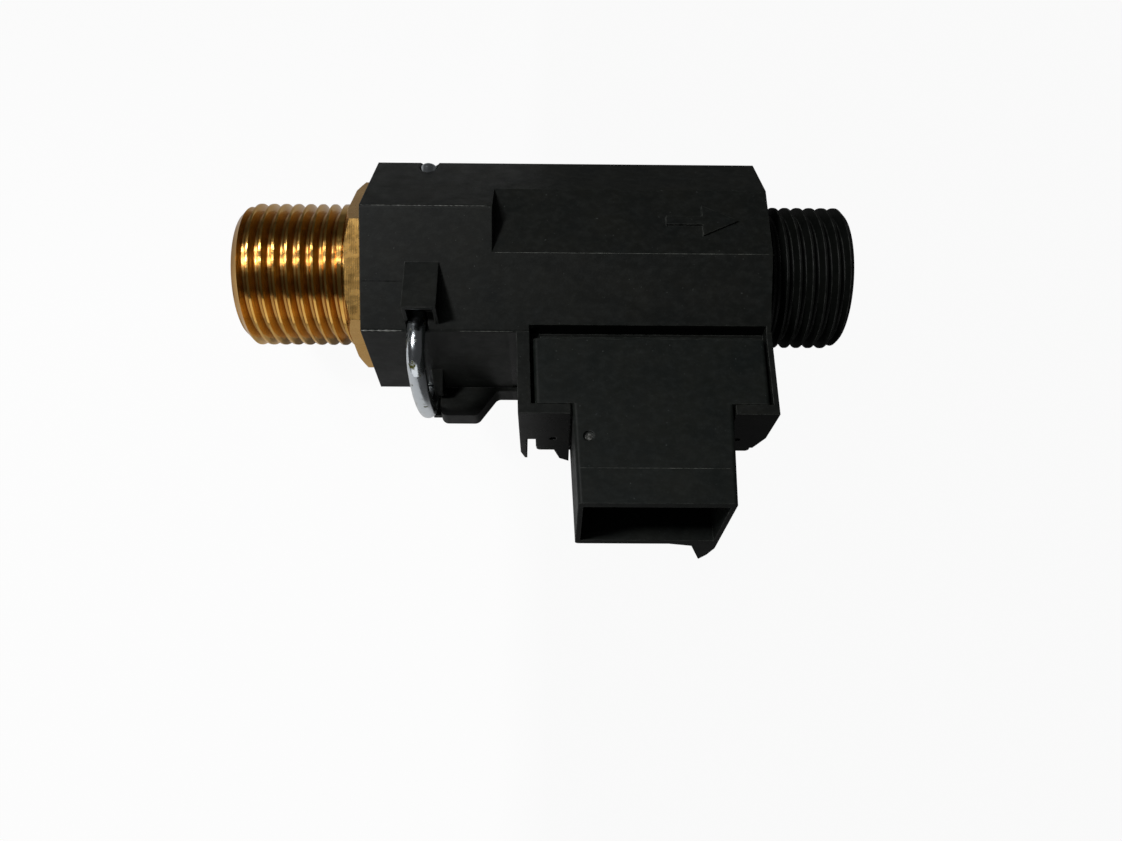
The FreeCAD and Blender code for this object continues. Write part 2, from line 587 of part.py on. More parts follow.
def cradle_left():
    """The left wall with its thin rear leg, and the left lip with its tail beside the connector."""
    foot = FLAT + " - bury"
    wall_back = "(module_front - cradle_depth)"
    wall = primitive("Wedge", "cradle_left", (CRADLE_START, "0", foot), TAPER_UP,
                     Xmin="0", Xmax="cradle_wall", X2min="cradle_draft", X2max="cradle_wall + cradle_draft",
                     Ymin="0", Ymax="%s - (%s)" % (LIP_TOP, foot),
                     Zmin="-module_front", Zmax="-" + wall_back, Z2min="-module_front", Z2max="-" + wall_back)
    outer = "(%s + cradle_draft)" % CRADLE_START
    inner_edge = "(%s - lip_gap)" % SHROUD_START
    tail_end = "(%s - lip_tail_length)" % LIP_BACK
    corners = [(outer, "module_front"), (inner_edge, "module_front"), (inner_edge, tail_end),
               (inner_edge + " - lip_tail_tip", tail_end + " + lip_tail_bevel"),
               (inner_edge + " - lip_tail_width", LIP_BACK + " - lip_step"),
               (outer + " + leg_width + lip_notch_width", LIP_BACK), (outer, LIP_BACK)]
    lip = plate("cradle_left_lip", corners, "z", LIP_BASE, "lip_thickness")
    through = (LIP_BASE + " - lip_notch_drop", LIP_TOP + " + overcut")
    notch = block("cradle_notch", (outer + " + leg_width", outer + " + leg_width + lip_notch_width"),
                  (wall_back + " - overcut", LIP_BACK + " + lip_notch_depth"), through)
    beyond = wall_back + " - overcut"
    leg_side = [(CRADLE_START + " - overcut", LIP_BACK), (CRADLE_START + " - overcut", beyond),
                (outer + " + leg_taper", beyond), (outer + " + leg_taper", wall_back),
                (CRADLE_START, LIP_BACK)]
    taper = plate("cradle_leg_taper", leg_side, "z", foot + " - overcut",
                  "%s - (%s) + 2 * overcut" % (LIP_TOP, foot))
    hole = post("cradle_left_hole", inner_edge + " - left_hole_inset", LIP_BACK + " + lip_hole_place",
                through, "lip_hole")
    return cut("cradle_left_shaped", joined("cradle_left_solid", wall, lip), notch, taper, hole)


def cradle_right():
    """The right wall with its foot on the body's end, and the right lip."""
    foot = FLAT + " - bury"
    right_edge = "(%s + lip_gap)" % SHROUD_END
    bend = "(%s - cradle_bend)" % CRADLE_END
    wall_corners = [(CRADLE_END_INNER, "module_front"), (CRADLE_END, "module_front"),
                    (bend, "cradle_bend_place"), (CRADLE_END_INNER, "cradle_bend_place - cradle_bend_width")]
    wall = plate("cradle_right", wall_corners, "z", foot, "%s - (%s)" % (LIP_TOP, foot))
    end_foot = block("cradle_end_foot", ("%s - bury" % BODY_END, CRADLE_END),
                     ("cradle_bend_place", "module_front"),
                     ("%s - cradle_end_foot" % FLAT, FLAT))
    lip_corners = [(right_edge, "module_front"), (CRADLE_END, "module_front"), (bend, "cradle_bend_place"),
                   (CRADLE_END + " - cradle_corner_cut", LIP_BACK), (right_edge, LIP_BACK)]
    lip = plate("cradle_right_lip", lip_corners, "z", LIP_BASE, "lip_thickness")
    hole = post("cradle_right_hole", right_edge + " + right_hole_inset", LIP_BACK + " + lip_hole_place",
                (LIP_BASE + " - overcut", LIP_TOP + " + overcut"), "lip_hole")
    return joined("cradle_right_shaped", wall, end_foot, cut("cradle_right_lip_holed", lip, hole))


def cradle_rear():
    """The low wall behind the module's flange."""
    face = "%s - 2 * loose_gap" % FLANGE_BACK
    return block("cradle_rear", (CRADLE_START, BODY_END), (face + " - cradle_rear_wall", face),
                 (FLAT + " - bury", FLAT + " + cradle_rear_height"))


def valve_body():
    solid = joined("body_solid", body_hexagon(), flow_arrow(), outlet_thread(), *clip_hoods(),
                   *clip_guard(), pry_ramp(), cradle_rear(), cradle_left(), cradle_right())
    socket = rod("body_socket", BODY_START + " - overcut", SEAT_START, "nipple_socket")
    chamber = rod("body_chamber", BODY_START, CHAMBER_END, CHAMBER_BORE)
    outlet = rod("body_outlet", BODY_START, FLOW_END + " + overcut", "outlet_bore")
    reach = ("-%s" % CORNER, "%s + bury" % FLAT)
    front_hole = post("clip_hole_front", CLIP_PLACE, CLIP_LEG, reach, CLIP_HOLE)
    rear_hole = post("clip_hole_rear", CLIP_PLACE, "-" + CLIP_LEG, reach, CLIP_HOLE)
    return placed("valve_body", cut("body_finished", solid, socket, chamber, outlet, front_hole, rear_hole))


# Brass nipple and its seals

def inlet_nipple():
    """Threaded nipple with its hexagon, and a spigot with two seal grooves and the clip's groove."""
    bevel = "nipple_lead_in"
    nose = cone("nipple_nose", "0", bevel, "thread_major - 2 * nipple_lead_in", "thread_major")
    barrel = rod("nipple_barrel", bevel, "nipple_thread_length", "thread_major")
    neck = rod("nipple_neck", "nipple_thread_length", HEX_START + " + bury", "relief_diameter")
    nut = hexagon("nipple_nut", HEX_START, HEX_END, "nipple_hex_flats")
    corner = "(2 * nipple_hex_flats / sqrt(3))"
    bevel_end = "(%s + nipple_hex_bevel)" % HEX_START
    nut_nose = cone("nipple_nut_nose", HEX_START, bevel_end, corner + " - 2 * sqrt(3) * nipple_hex_bevel",
                    corner)
    nut_rest = rod("nipple_nut_rest", bevel_end, HEX_END, corner)
    nut_turned = common("nipple_nut_turned", nut, joined("nipple_nut_envelope", nut_nose, nut_rest))
    spigot = rod("nipple_spigot", HEX_END + " - bury", NIPPLE_END, "nipple_socket - 2 * slide_gap")
    blank = joined("nipple_blank", nose, barrel, neck, nut_turned, spigot)
    cuts = [rod("nipple_through", "-overcut", NIPPLE_END + " + overcut", "nipple_bore"),
            cone("nipple_mouth", "-nipple_lip", "nipple_lip", "nipple_bore + 4 * nipple_lip", "nipple_bore")]
    for seal, seal_place in SEAL_PLACES.items():
        cuts.append(round_groove("nipple_groove_" + seal, seal_place, "seal_section + seal_play",
                                 SEAL_FLOOR, "nipple_socket + overcut"))
    clip_floor = "2 * (%s - clip_wire / 2 - clip_hole_gap / 2)" % CLIP_LEG
    cuts.append(round_groove("nipple_groove_clip", CLIP_PLACE, CLIP_HOLE, clip_floor,
                             "nipple_socket + overcut"))
    cuts.append(thread_groove("nipple_groove_thread", "-nipple_thread_shift",
                              "nipple_thread_length - nipple_thread_runout"))
    return placed("inlet_nipple", cut("nipple_finished", blank, *cuts))


def round_groove(name, place, width, floor, over):
    """The ring of space that a groove takes out of a round bar."""
    start = "(%s) - (%s) / 2" % (place, width)
    end = "(%s) + (%s) / 2" % (place, width)
    return cut(name, rod(name + "_disc", start, end, over),
               rod(name + "_floor", start + " - overcut", end + " + overcut", floor))


def nipple_seals():
    """Two rubber rings that fill the grooves up to the body's bore."""
    mean = "(%s / 2 + nipple_socket / 2)" % SEAL_FLOOR
    for seal, seal_place in SEAL_PLACES.items():
        placed("nipple_seal_" + seal, ring("nipple_ring_" + seal, seal_place, mean, "seal_section"))


# Wire clip

def retaining_clip():
    """A bent wire: two straight legs, two corners and a slightly arched bow, all tangent.

    The corner's centre lies clip_corner inside the leg and clip_bow less clip_corner from the
    bow's centre, which gives the height where the leg ends.
    """
    place = number(CLIP_PLACE)
    leg = number(CLIP_LEG)
    bow = value("clip_bow")
    corner = value("clip_corner")
    apex = number(CLIP_APEX)
    bow_centre = apex - bow
    side = leg - corner
    rise = math.sqrt((bow - corner) ** 2 - side ** 2)
    leg_end = bow_centre + rise
    lean = math.atan2(side, rise)
    half_lean = (math.pi / 2 + lean) / 2

    def point(y, z):
        return Vector(place, y, z)

    def on_corner(angle):
        """A point of the corner's arc, the angle taken from straight up."""
        return side + corner * math.sin(angle), leg_end + corner * math.cos(angle)

    meet = on_corner(lean)
    middle = on_corner(half_lean)
    front_tip = -value("clip_front_tip")
    rear_tip = -value("clip_rear_tip")
    edges = [Part.LineSegment(point(leg, front_tip), point(leg, leg_end)),
             Part.Arc(point(leg, leg_end), point(*middle), point(*meet)),
             Part.Arc(point(*meet), point(0, apex), point(-meet[0], meet[1])),
             Part.Arc(point(-meet[0], meet[1]), point(-middle[0], middle[1]), point(-leg, leg_end)),
             Part.LineSegment(point(-leg, leg_end), point(-leg, rear_tip))]
    path = doc.addObject("Part::Feature", "clip_path")
    path.Shape = Part.Wire([edge.toShape() for edge in edges])
    section = primitive("Circle", "clip_section", (CLIP_PLACE, CLIP_LEG, "-clip_front_tip"),
                        Radius="clip_wire / 2")
    doc.recompute()
    wire = doc.addObject("Part::Sweep", "clip_wire_sweep")
    wire.Sections = [section]
    wire.Spine = (path, ["Edge%d" % n for n in range(1, len(edges) + 1)])
    wire.Solid = True
    wire.Frenet = False
    doc.recompute()
    tips = rounded("clip_finished", wire, "clip_tip_round", is_tip_edge)
    return placed("retaining_clip", tips)


def is_tip_edge(edge):
    """True for the round edge at a leg's tip."""
    box = edge.BoundBox
    level = box.ZMax - box.ZMin < 1e-6
    return level and any(abs(box.ZMin + value(tip)) < 1e-6 for tip in ("clip_front_tip", "clip_rear_tip"))


# Strainer

def strainer():
    """A rim, an end cap and four ribs, round a perforated sleeve with a closed end."""
    rim_end = "(strainer_start + strainer_rim)"
    end = "(strainer_start + strainer_length)"
    cap_start = "(%s - strainer_cap)" % end
    rim_outer = "(nipple_bore - 2 * loose_gap)"
    cage = "(mesh_diameter + 2 * slide_gap + 2 * rib_height)"
    inside = "mesh_diameter + 2 * slide_gap"
    rim = cut("strainer_rim", rod("strainer_rim_disc", "strainer_start", rim_end, rim_outer),
              rod("strainer_rim_hole", "strainer_start - overcut", rim_end + " + overcut", inside))
    cap = rod("strainer_cap_disc", cap_start, end, cage)
    upright = block("strainer_rib_upright", (rim_end + " - bury", cap_start + " + bury / 2"),
                    ("-rib_width / 2", "rib_width / 2"), ("-%s / 2" % cage, "%s / 2" % cage))
    level = block("strainer_rib_level", (rim_end + " - bury", cap_start + " + bury / 2"),
                  ("-%s / 2" % cage, "%s / 2" % cage), ("-rib_width / 2", "rib_width / 2"))
    core = rod("strainer_core", "strainer_start - overcut", cap_start, inside)
    ribs = cut("strainer_ribs", joined("strainer_cross", upright, level), core)
    placed("strainer_frame", joined("strainer_whole", rim, cap, ribs))
    sleeve = rod("mesh_outer", "strainer_start", cap_start + " - slide_gap", "mesh_diameter")
    space = rod("mesh_inner", "strainer_start - overcut", cap_start + " - slide_gap - mesh_wall",
                "mesh_diameter - 2 * mesh_wall")
    holes = [space]
    rows = 3
    around = 6
    for row in range(rows):
        for turn in range(around):
            station = "(%s + (%s - (%s)) * %d / %d)" % (rim_end, cap_start, rim_end, 2 * row + 1, 2 * rows)
            hole = primitive("Cylinder", "mesh_hole_%d_%d" % (row, turn), (station, "0", "0"),
                             Rotation(Vector(1, 0, 0), 180.0 * (turn + 0.5) / around),
                             Radius="mesh_hole / 2", Height="mesh_diameter")
            opposite = primitive("Cylinder", "mesh_hole_%d_%d_back" % (row, turn), (station, "0", "0"),
                                 Rotation(Vector(1, 0, 0), 180.0 * (turn + 0.5) / around + 180.0),
                                 Radius="mesh_hole / 2", Height="mesh_diameter")
            holes += [hole, opposite]
    placed("strainer_mesh", cut("mesh_finished", sleeve, *holes))


# Piston group

def seat_ring():
    """The ring that the piston's head covers when no water flows."""
    end = "(%s + seat_thickness)" % SEAT_START
    disc = rod("seat_disc", SEAT_START, end, GUIDE_OUTER)
    hole = rod("seat_hole_tool", SEAT_START + " - overcut", end + " + overcut",
               PISTON_HEAD + " - 2 * seat_lap")
    return placed("seat_ring", cut("seat_finished", disc, hole))


def piston_guide():
    """The sleeve that the piston slides in, with grooves for its seal and for the snap ring."""
    tube = rod("guide_tube", GUIDE_START, GUIDE_END, GUIDE_OUTER)
    bore = rod("guide_hole", GUIDE_START + " - overcut", GUIDE_END + " + overcut", "guide_bore")
    floor = GUIDE_OUTER + " - 2 * guide_seal_section - loose_gap"
    seal_place = "(%s + guide_seal_inset)" % GUIDE_START
    seal_groove = round_groove("guide_seal_space", seal_place, "guide_seal_section + guide_seal_play", floor,
                               CHAMBER_BORE + " + overcut")
    snap_groove = rod("guide_snap_space", SNAP_START + " - loose_gap / 2",
                      SNAP_START + " + snap_thickness + loose_gap / 2", SNAP_GROOVE)
    placed("piston_guide", cut("guide_finished", tube, bore, seal_groove, snap_groove))
    mean = "(%s - guide_seal_section - loose_gap / 2)" % GUIDE_OUTER
    placed("guide_seal", ring("guide_ring", seal_place, mean, "guide_seal_section"))


def piston():
    """A head that meets the seat ring and a fluted skirt with the magnet's pocket."""
    head_end = "(%s + piston_head_length)" % PISTON_START
    skirt = "guide_bore - 2 * slide_gap"
    head = rod("piston_head_disc", PISTON_START, head_end + " + bury", PISTON_HEAD)
    body = rod("piston_skirt", head_end, PISTON_END, skirt)
    pocket = rod("piston_pocket", MAGNET_START + " - loose_gap", PISTON_END + " + overcut",
                 "magnet_diameter + 2 * loose_gap")
    cuts = [pocket]
    flutes = 4
    reach = "(guide_bore + flute_offset) / 2"
    for turn in range(flutes):
        angle = 2 * math.pi * (turn + 0.5) / flutes
        cuts.append(primitive("Cylinder", "piston_flute_%d" % turn,
                              (head_end + " - bury", reach + " * %.9f" % math.cos(angle),
                               reach + " * %.9f" % math.sin(angle)),
                              ALONG_FLOW, Radius="flute_diameter / 2", Height="piston_length"))
    placed("piston", cut("piston_finished", joined("piston_blank", head, body), *cuts))
    placed("piston_magnet", rod("magnet_bar", MAGNET_START, MAGNET_START + " + magnet_length",
                                "magnet_diameter"))
    placed("magnet_cap", rod("cap_disc", PISTON_END + " - cap_thickness", PISTON_END,
                             "magnet_diameter + loose_gap"))


def return_spring():
    """A coiled wire between the piston and the spring seat, drawn at its length at rest."""
    helix = doc.addObject("Part::Helix", "spring_helix")
    helix.setExpression("Radius", formula("spring_mean / 2"))
    helix.setExpression("Pitch", formula("(%s - spring_wire) / spring_turns" % SPRING_LENGTH))
    helix.setExpression("Height", formula("%s - spring_wire" % SPRING_LENGTH))
    helix.SegmentLength = 1
    section = primitive("Circle", "spring_section", ("spring_mean / 2", "0", "0"), TAPER_UP,
                        Radius="spring_wire / 2")
    doc.recompute()
    coil = doc.addObject("Part::Sweep", "spring_coil")
    coil.Sections = [section]
    coil.Spine = (helix, ["Edge%d" % n for n in range(1, len(helix.Shape.Edges) + 1)])
    coil.Solid = True
    coil.Frenet = True
    coil.Placement = Placement(Vector(), ALONG_FLOW)
    coil.setExpression("Placement.Base.x", formula("%s + spring_wire / 2" % SPRING_START))
    return placed("return_spring", coil)


def spring_stop():
    """The spring seat and the open snap ring that holds it in the guide."""
    seat_end = "(%s + spring_seat_thickness)" % SPRING_SEAT_START
    disc = rod("spring_seat_disc", SPRING_SEAT_START, seat_end, "guide_bore - loose_gap")
    hole = rod("spring_seat_space", SPRING_SEAT_START + " - overcut", seat_end + " + overcut",
               "spring_seat_hole")
    placed("spring_seat", cut("spring_seat_finished", disc, hole))
    snap_end = "(%s + snap_thickness)" % SNAP_START
    snap = rod("snap_disc", SNAP_START, snap_end, SNAP_GROOVE + " - loose_gap")
    snap_hole = rod("snap_hole", SNAP_START + " - overcut", snap_end + " + overcut",
                    "guide_bore - 2 * snap_cover")
    opening = block("snap_opening_tool", (SNAP_START + " - overcut", snap_end + " + overcut"),
                    ("-snap_opening / 2", "snap_opening / 2"), ("0", SNAP_GROOVE))
    placed("snap_ring", cut("snap_finished", snap, snap_hole, opening))


# Switch module

def tapered_shroud(name):
    """The connector's outer shape, narrower at its mouth."""
    return primitive("Wedge", name, (SHROUD_START, "0", FLANGE_TOP + " - bury"), TAPER_UP,
                     Xmin="0", Xmax="shroud_length",
                     X2min="shroud_draft_left", X2max="shroud_length - shroud_draft_right",
                     Ymin="0", Ymax="bury + shroud_height",
                     Zmin="-module_front", Zmax="module_front",
                     Z2min="-module_front + shroud_draft_front",
                     Z2max="module_front - shroud_draft_front")


def tapered_flange():
    """The flange's outer shape, a little narrower at its top."""
    return primitive("Wedge", "flange_box", (FLANGE_START, "0", FLANGE_BASE), TAPER_UP,
                     Xmin="0", Xmax="flange_length",
                     X2min="flange_draft_left", X2max="flange_length - flange_draft_right",
                     Ymin="0", Ymax="flange_height",
                     Zmin="-module_front", Zmax="-" + FLANGE_BACK,
                     Z2min="-module_front", Z2max="-" + FLANGE_BACK)


def keying_rib():
    """A sharp-edged rib behind the connector that keys the mating plug, flush with its right side."""
    right = "(%s - shroud_draft_right)" % SHROUD_END
    rear = "(-module_front)"
    left = right + " - key_width"
    inside = rear + " + bury"
    corners = [(right, inside), (right, rear + " - key_shoulder"),
               (right + " - key_slant", rear + " - key_slant_end"),
               (right + " - key_tip_inset", rear + " - key_height"), (left, rear + " - key_root"),
               (left + " - key_toe", rear), (left + " - key_toe", inside)]
    return plate("keying_rib", corners, "z", SHROUD_TOP + " - key_length", "key_length")


def terminal_places():
    """Formulas for the three terminals' middles along the flow."""
    return {"left": "(%s - terminal_pitch)" % SHROUD_MIDDLE, "middle": SHROUD_MIDDLE,
            "right": "(%s + terminal_pitch)" % SHROUD_MIDDLE}


def switch_housing():
    """A flange box open towards the body, with the connector's shroud standing on it."""
    soft_flange = rounded("flange_soft", tapered_flange(), "housing_round", stands_upright)
    soft_shroud = rounded("shroud_soft", tapered_shroud("shroud_block"), "housing_round", stands_upright)
    solid = joined("housing_solid", soft_flange, soft_shroud, keying_rib())
    inner_x = (FLANGE_START + " + housing_wall", FLANGE_END + " - housing_wall")
    inner_y = (FLANGE_BACK + " + housing_wall", "module_front - housing_wall")
    inner_z = (FLANGE_BASE + " - overcut", FLANGE_TOP + " - housing_wall")
    room = block("housing_room", inner_x, inner_y, inner_z)
    mouth = block("socket_space", (SOCKET_LEFT, SOCKET_RIGHT), ("-" + SOCKET_DEPTH, SOCKET_DEPTH),
                  (SOCKET_FLOOR, SHROUD_TOP + " + overcut"))
    cuts = [room, mouth]
    for place, middle in terminal_places().items():
        cuts.append(terminal_slot("housing_slot_" + place, middle, (FLANGE_TOP + " - 2 * housing_wall",
                                                                  SOCKET_FLOOR + " + overcut")))
    cuts.append(crossbar("housing_pin_hole", PIN_PLACE, ("0", "module_front + overcut"), PIN_HEIGHT,
                         "pin_diameter + 2 * slide_gap"))
    dimple = ("module_front - pin_sink", "module_front + overcut")
    cuts.append(crossbar("housing_dimple", PIN_PLACE, dimple, PIN_HEIGHT, "pin_dimple"))
    return placed("switch_housing", cut("housing_finished", solid, *cuts))


def stands_upright(edge):
    """True for an edge that rises at least as far as it runs."""
    box = edge.BoundBox
    return box.ZLength > max(box.XLength, box.YLength)


def terminal_slot(name, middle, rise):
    """The space that a terminal takes where it passes through a wall."""
    half_x = "(terminal_thickness / 2 + slide_gap)"
    half_y = "(terminal_width / 2 + slide_gap)"
    return block(name, ("%s - %s" % (middle, half_x), "%s + %s" % (middle, half_x)),
                 ("-" + half_y, half_y), rise)


def switch_cover():
    """The lid towards the body, with a rim that locates it in the housing."""
    step = "cover_inset"
    lid = block("cover_lid", (FLANGE_START + " + " + step, "%s - %s" % (FLANGE_END, step)),
                ("%s + %s" % (FLANGE_BACK, step), "module_front - " + step),
                (COVER_BASE, COVER_BASE + " + cover_thickness"))
    edge = "(housing_wall + loose_gap)"
    rise = (COVER_BASE + " + cover_thickness - bury / 2", COVER_BASE + " + cover_thickness + cover_plug")
    rim = block("cover_rim", (FLANGE_START + " + " + edge, "%s - %s" % (FLANGE_END, edge)),
                ("%s + %s" % (FLANGE_BACK, edge), "module_front - " + edge), rise)
    inset = "(%s + cover_rim_wall)" % edge
    inside = block("cover_rim_space", (FLANGE_START + " + " + inset, "%s - %s" % (FLANGE_END, inset)),
                   ("%s + %s" % (FLANGE_BACK, inset), "module_front - " + inset),
                   (COVER_BASE + " + cover_thickness", rise[1] + " + overcut"))
    return placed("switch_cover", cut("cover_finished", joined("cover_blank", lid, rim), inside))


def circuit_board():
    """The board that joins the reed's leads to the terminals."""
    edge = "(housing_wall + board_margin)"
    rise = (BOARD_BASE, BOARD_BASE + " + board_thickness")
    board = block("board_blank", (FLANGE_START + " + " + edge, "%s - %s" % (FLANGE_END, edge)),
                  ("%s + %s" % (FLANGE_BACK, edge), "module_front - " + edge), rise)
    cuts = []
    through = (rise[0] + " - overcut", rise[1] + " + overcut")
    for place, middle in terminal_places().items():
        cuts.append(terminal_slot("board_slot_" + place, middle, through))
    for side, middle in lead_places().items():
        cuts.append(post("board_hole_" + side, middle, "0", through, "lead_diameter + 2 * slide_gap"))
    return placed("circuit_board", cut("board_finished", board, *cuts))


def terminals():
    """Three flat terminals from the board up into the socket, and the carrier round them."""
    foot = BOARD_BASE + " - loose_gap"
    top = "(%s + terminal_top)" % SOCKET_FLOOR
    shoulder = "(%s - terminal_tip)" % top
    slots = []
    for place, middle in terminal_places().items():
        shaft = block("terminal_shaft_" + place,
                      (middle + " - terminal_thickness / 2", middle + " + terminal_thickness / 2"),
                      ("-terminal_width / 2", "terminal_width / 2"), (foot, shoulder))
        tip = primitive("Wedge", "terminal_point_" + place, (middle, "0", shoulder), TAPER_UP,
                        Xmin="-terminal_thickness / 2", Xmax="terminal_thickness / 2",
                        X2min="-terminal_tip_thickness / 2", X2max="terminal_tip_thickness / 2",
                        Ymin="0", Ymax="terminal_tip",
                        Zmin="-terminal_width / 2", Zmax="terminal_width / 2",
                        Z2min="-terminal_tip_width / 2", Z2max="terminal_tip_width / 2")
        placed("terminal_" + place, joined("terminal_whole_" + place, shaft, tip))
        slots.append(terminal_slot("carrier_slot_" + place, middle, (SOCKET_FLOOR, SHROUD_TOP)))
    side = SOCKET_LEFT + " + loose_gap"
    depth = "(%s - loose_gap)" % SOCKET_DEPTH
    carrier = block("carrier_block", (side, SOCKET_RIGHT + " - loose_gap"), ("-" + depth, depth),
                    (SOCKET_FLOOR + " + loose_gap / 2", SOCKET_FLOOR + " + carrier_height"))
    front = "module_front - pin_sink"
    pin_back = front + " - pin_length"
    pin_room = "(pin_diameter / 2 + slide_gap)"
    notch = block("carrier_pin_notch", (side + " - overcut", PIN_PLACE + " + " + pin_room),
                  (pin_back + " - slide_gap", depth + " + overcut"),
                  (PIN_HEIGHT + " - " + pin_room, PIN_HEIGHT + " + " + pin_room))
    placed("terminal_carrier", cut("carrier_finished", carrier, notch, *slots))
    placed("locating_pin", crossbar("pin_bar", PIN_PLACE, (pin_back, front), PIN_HEIGHT, "pin_diameter"))


def lead_places():
    """Formulas for the two places where the reed's leads turn up to the board."""
    reach = "(reed_length / 2 + lead_reach)"
    return {"left": "(%s - %s)" % (REED_PLACE, reach), "right": "(%s + %s)" % (REED_PLACE, reach)}


def reed_switch():
    """A glass tube with sealed ends and two flat blades whose tips overlap with a small gap."""
    start = "(%s - reed_length / 2)" % REED_PLACE
    end = "(%s + reed_length / 2)" % REED_PLACE
    outer = "(reed_bore + 2 * reed_wall)"

    def tube(name, first, last, diameter):
        return primitive("Cylinder", name, (first, "0", REED_HEIGHT), ALONG_FLOW,
                         Radius="(%s) / 2" % diameter, Height="(%s) - (%s)" % (last, first))

    glass = tube("glass_outer", start, end, outer)
    space = tube("glass_space", start + " + reed_cap", end + " - reed_cap", "reed_bore")
    passage = tube("glass_passage", start + " - overcut", end + " + overcut", "lead_diameter + 2 * slide_gap")
    placed("reed_glass", cut("glass_finished", glass, space, passage))
    for side, sign in (("left", -1), ("right", 1)):
        turn_up = lead_places()[side]
        inner = "(%s %+d * (reed_length / 2 - reed_cap - lead_diameter))" % (REED_PLACE, sign)
        first, last = (turn_up, inner) if sign < 0 else (inner, turn_up)
        level = tube("lead_level_" + side, first, last, "lead_diameter")
        upright = post("lead_upright_" + side, turn_up, "0",
                       (REED_HEIGHT, BOARD_BASE + " + board_thickness"), "lead_diameter")
        bend = primitive("Sphere", "lead_bend_" + side, (turn_up, "0", REED_HEIGHT),
                         Radius="lead_diameter / 2")
        drop = "(blade_gap / 2 + blade_thickness)"
        blade_z = (REED_HEIGHT + " - " + drop, REED_HEIGHT + " - blade_gap / 2")
        if sign > 0:
            blade_z = (REED_HEIGHT + " + blade_gap / 2", REED_HEIGHT + " + " + drop)
        tip = "(%s %+d * blade_overlap / 2)" % (REED_PLACE, -sign)
        root = inner if sign < 0 else "(%s + lead_diameter)" % inner
        blade_x = (root + " - lead_diameter", tip) if sign < 0 else (tip, root)
        blade = block("blade_bar_" + side, blade_x, ("-blade_width / 2", "blade_width / 2"), blade_z)
        placed("reed_blade_" + side, joined("blade_whole_" + side, level, upright, bend, blade))


valve_body()
inlet_nipple()
nipple_seals()
retaining_clip()
strainer()
seat_ring()
piston_guide()
piston()
return_spring()
spring_stop()
switch_housing()
switch_cover()
circuit_board()
terminals()
reed_switch()
doc.recompute()

for piece in doc.Objects:
    if "Invalid" in piece.State or "Error" in piece.State:
        raise ValueError("%s failed: %s" % (piece.Name, piece.State))
for node, piece in parts.items():
    shape = piece.Shape
    if shape.isNull() or not shape.isValid() or not shape.Solids:
        raise ValueError("%s has no valid solid" % node)

os.makedirs("parts", exist_ok=True)
for node, piece in parts.items():
    piece.Shape.exportStep(os.path.join("parts", node + ".step"))
    box = piece.Shape.BoundBox
    print("%-20s solids %d  volume %9.2f  x %6.2f %6.2f  y %6.2f %6.2f  z %6.2f %6.2f" % (
        node, len(piece.Shape.Solids), piece.Shape.Volume, box.XMin, box.XMax, box.YMin, box.YMax,
        box.ZMin, box.ZMax))
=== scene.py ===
"""Looks of the in-line flow switch: finishes, small surface details, floor, light and camera.

The frame gives every solid in metres, with X along the flow, Z up from the floor that the body lies on,
and the plug socket towards -Y.
"""
import math

import bpy
import numpy as np
from mathutils import Matrix, Vector


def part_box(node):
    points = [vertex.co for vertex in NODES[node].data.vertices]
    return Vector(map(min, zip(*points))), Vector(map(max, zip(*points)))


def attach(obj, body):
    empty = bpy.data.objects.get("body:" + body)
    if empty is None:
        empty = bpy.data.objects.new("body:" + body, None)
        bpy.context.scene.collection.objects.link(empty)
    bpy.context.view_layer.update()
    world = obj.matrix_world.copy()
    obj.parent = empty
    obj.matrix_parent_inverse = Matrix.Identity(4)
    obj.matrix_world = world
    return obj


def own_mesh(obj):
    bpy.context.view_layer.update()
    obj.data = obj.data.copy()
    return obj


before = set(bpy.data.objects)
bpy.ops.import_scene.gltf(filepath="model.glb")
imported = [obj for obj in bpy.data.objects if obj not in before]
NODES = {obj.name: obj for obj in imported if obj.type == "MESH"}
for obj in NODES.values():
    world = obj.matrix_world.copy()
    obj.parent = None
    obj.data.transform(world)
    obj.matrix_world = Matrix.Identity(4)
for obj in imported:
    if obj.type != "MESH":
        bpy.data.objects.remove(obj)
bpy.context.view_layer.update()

MM = 0.001

# Camera, fitted to the photograph: its frame and focal length in pixels, its sensor in millimetres
FRAME_WIDTH = 1122
FOCAL_PIXELS = 909.48
SENSOR_WIDTH = 36.0
CAMERA_PLACE = Vector((45.6985, -9.6485, 139.1647)) * MM
CAMERA_YAW = math.radians(0.462)
CAMERA_PITCH = math.radians(4.994)
CAMERA_ROLL = math.radians(-0.396)

# Floor and light, in metres
FLOOR_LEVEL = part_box("valve_body")[0][2]
FLOOR_SIZE = 3.0
SCENE_MIDDLE = Vector((0.045, -0.008, 0.0))

# The floor's paper: its light shade and its painted shade, darker behind the object and to its right, and
# where one goes over to the other along Y and along X
PAPER_LIGHT, PAPER_PAINTED_SHADE = "dadada", "484848"
PAINTED_SHADE_ALONG_Y = (-0.005, 0.07)
PAINTED_SHADE_ALONG_X = (0.036, 0.045)

# The share of plain white in the paper, as the camera sees it and as metal, gloss and glass mirror it,
# and the strength of the room around
WHITE_TO_CAMERA = 0.95
WHITE_MIRRORED = 0.03
ROOM_LEVEL = 0.04

# Places on the object that its finishes and small details need, in millimetres
THREAD_CREST = 10.4
THREAD_ROOT = 9.4
NIPPLE_THREAD_END = 15.8
BODY_FLAT = 14.6
OUTLET_LENGTH = 12.7
BODY_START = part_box("valve_body")[0][0] / MM
BODY_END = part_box("valve_body")[1][0] / MM - OUTLET_LENGTH
PAD_START = BODY_START + 17.9
PAD_HEIGHT = 13.76
MODULE_FRONT = 8.4

# Where the end faces that carry a smoother polish and painted shade begin: along the flow on the body, and
# behind its front on the module
POLISH_AND_SHADE_START = BODY_START + 20.0
POLISH_AND_SHADE_DEPTH = 1.6

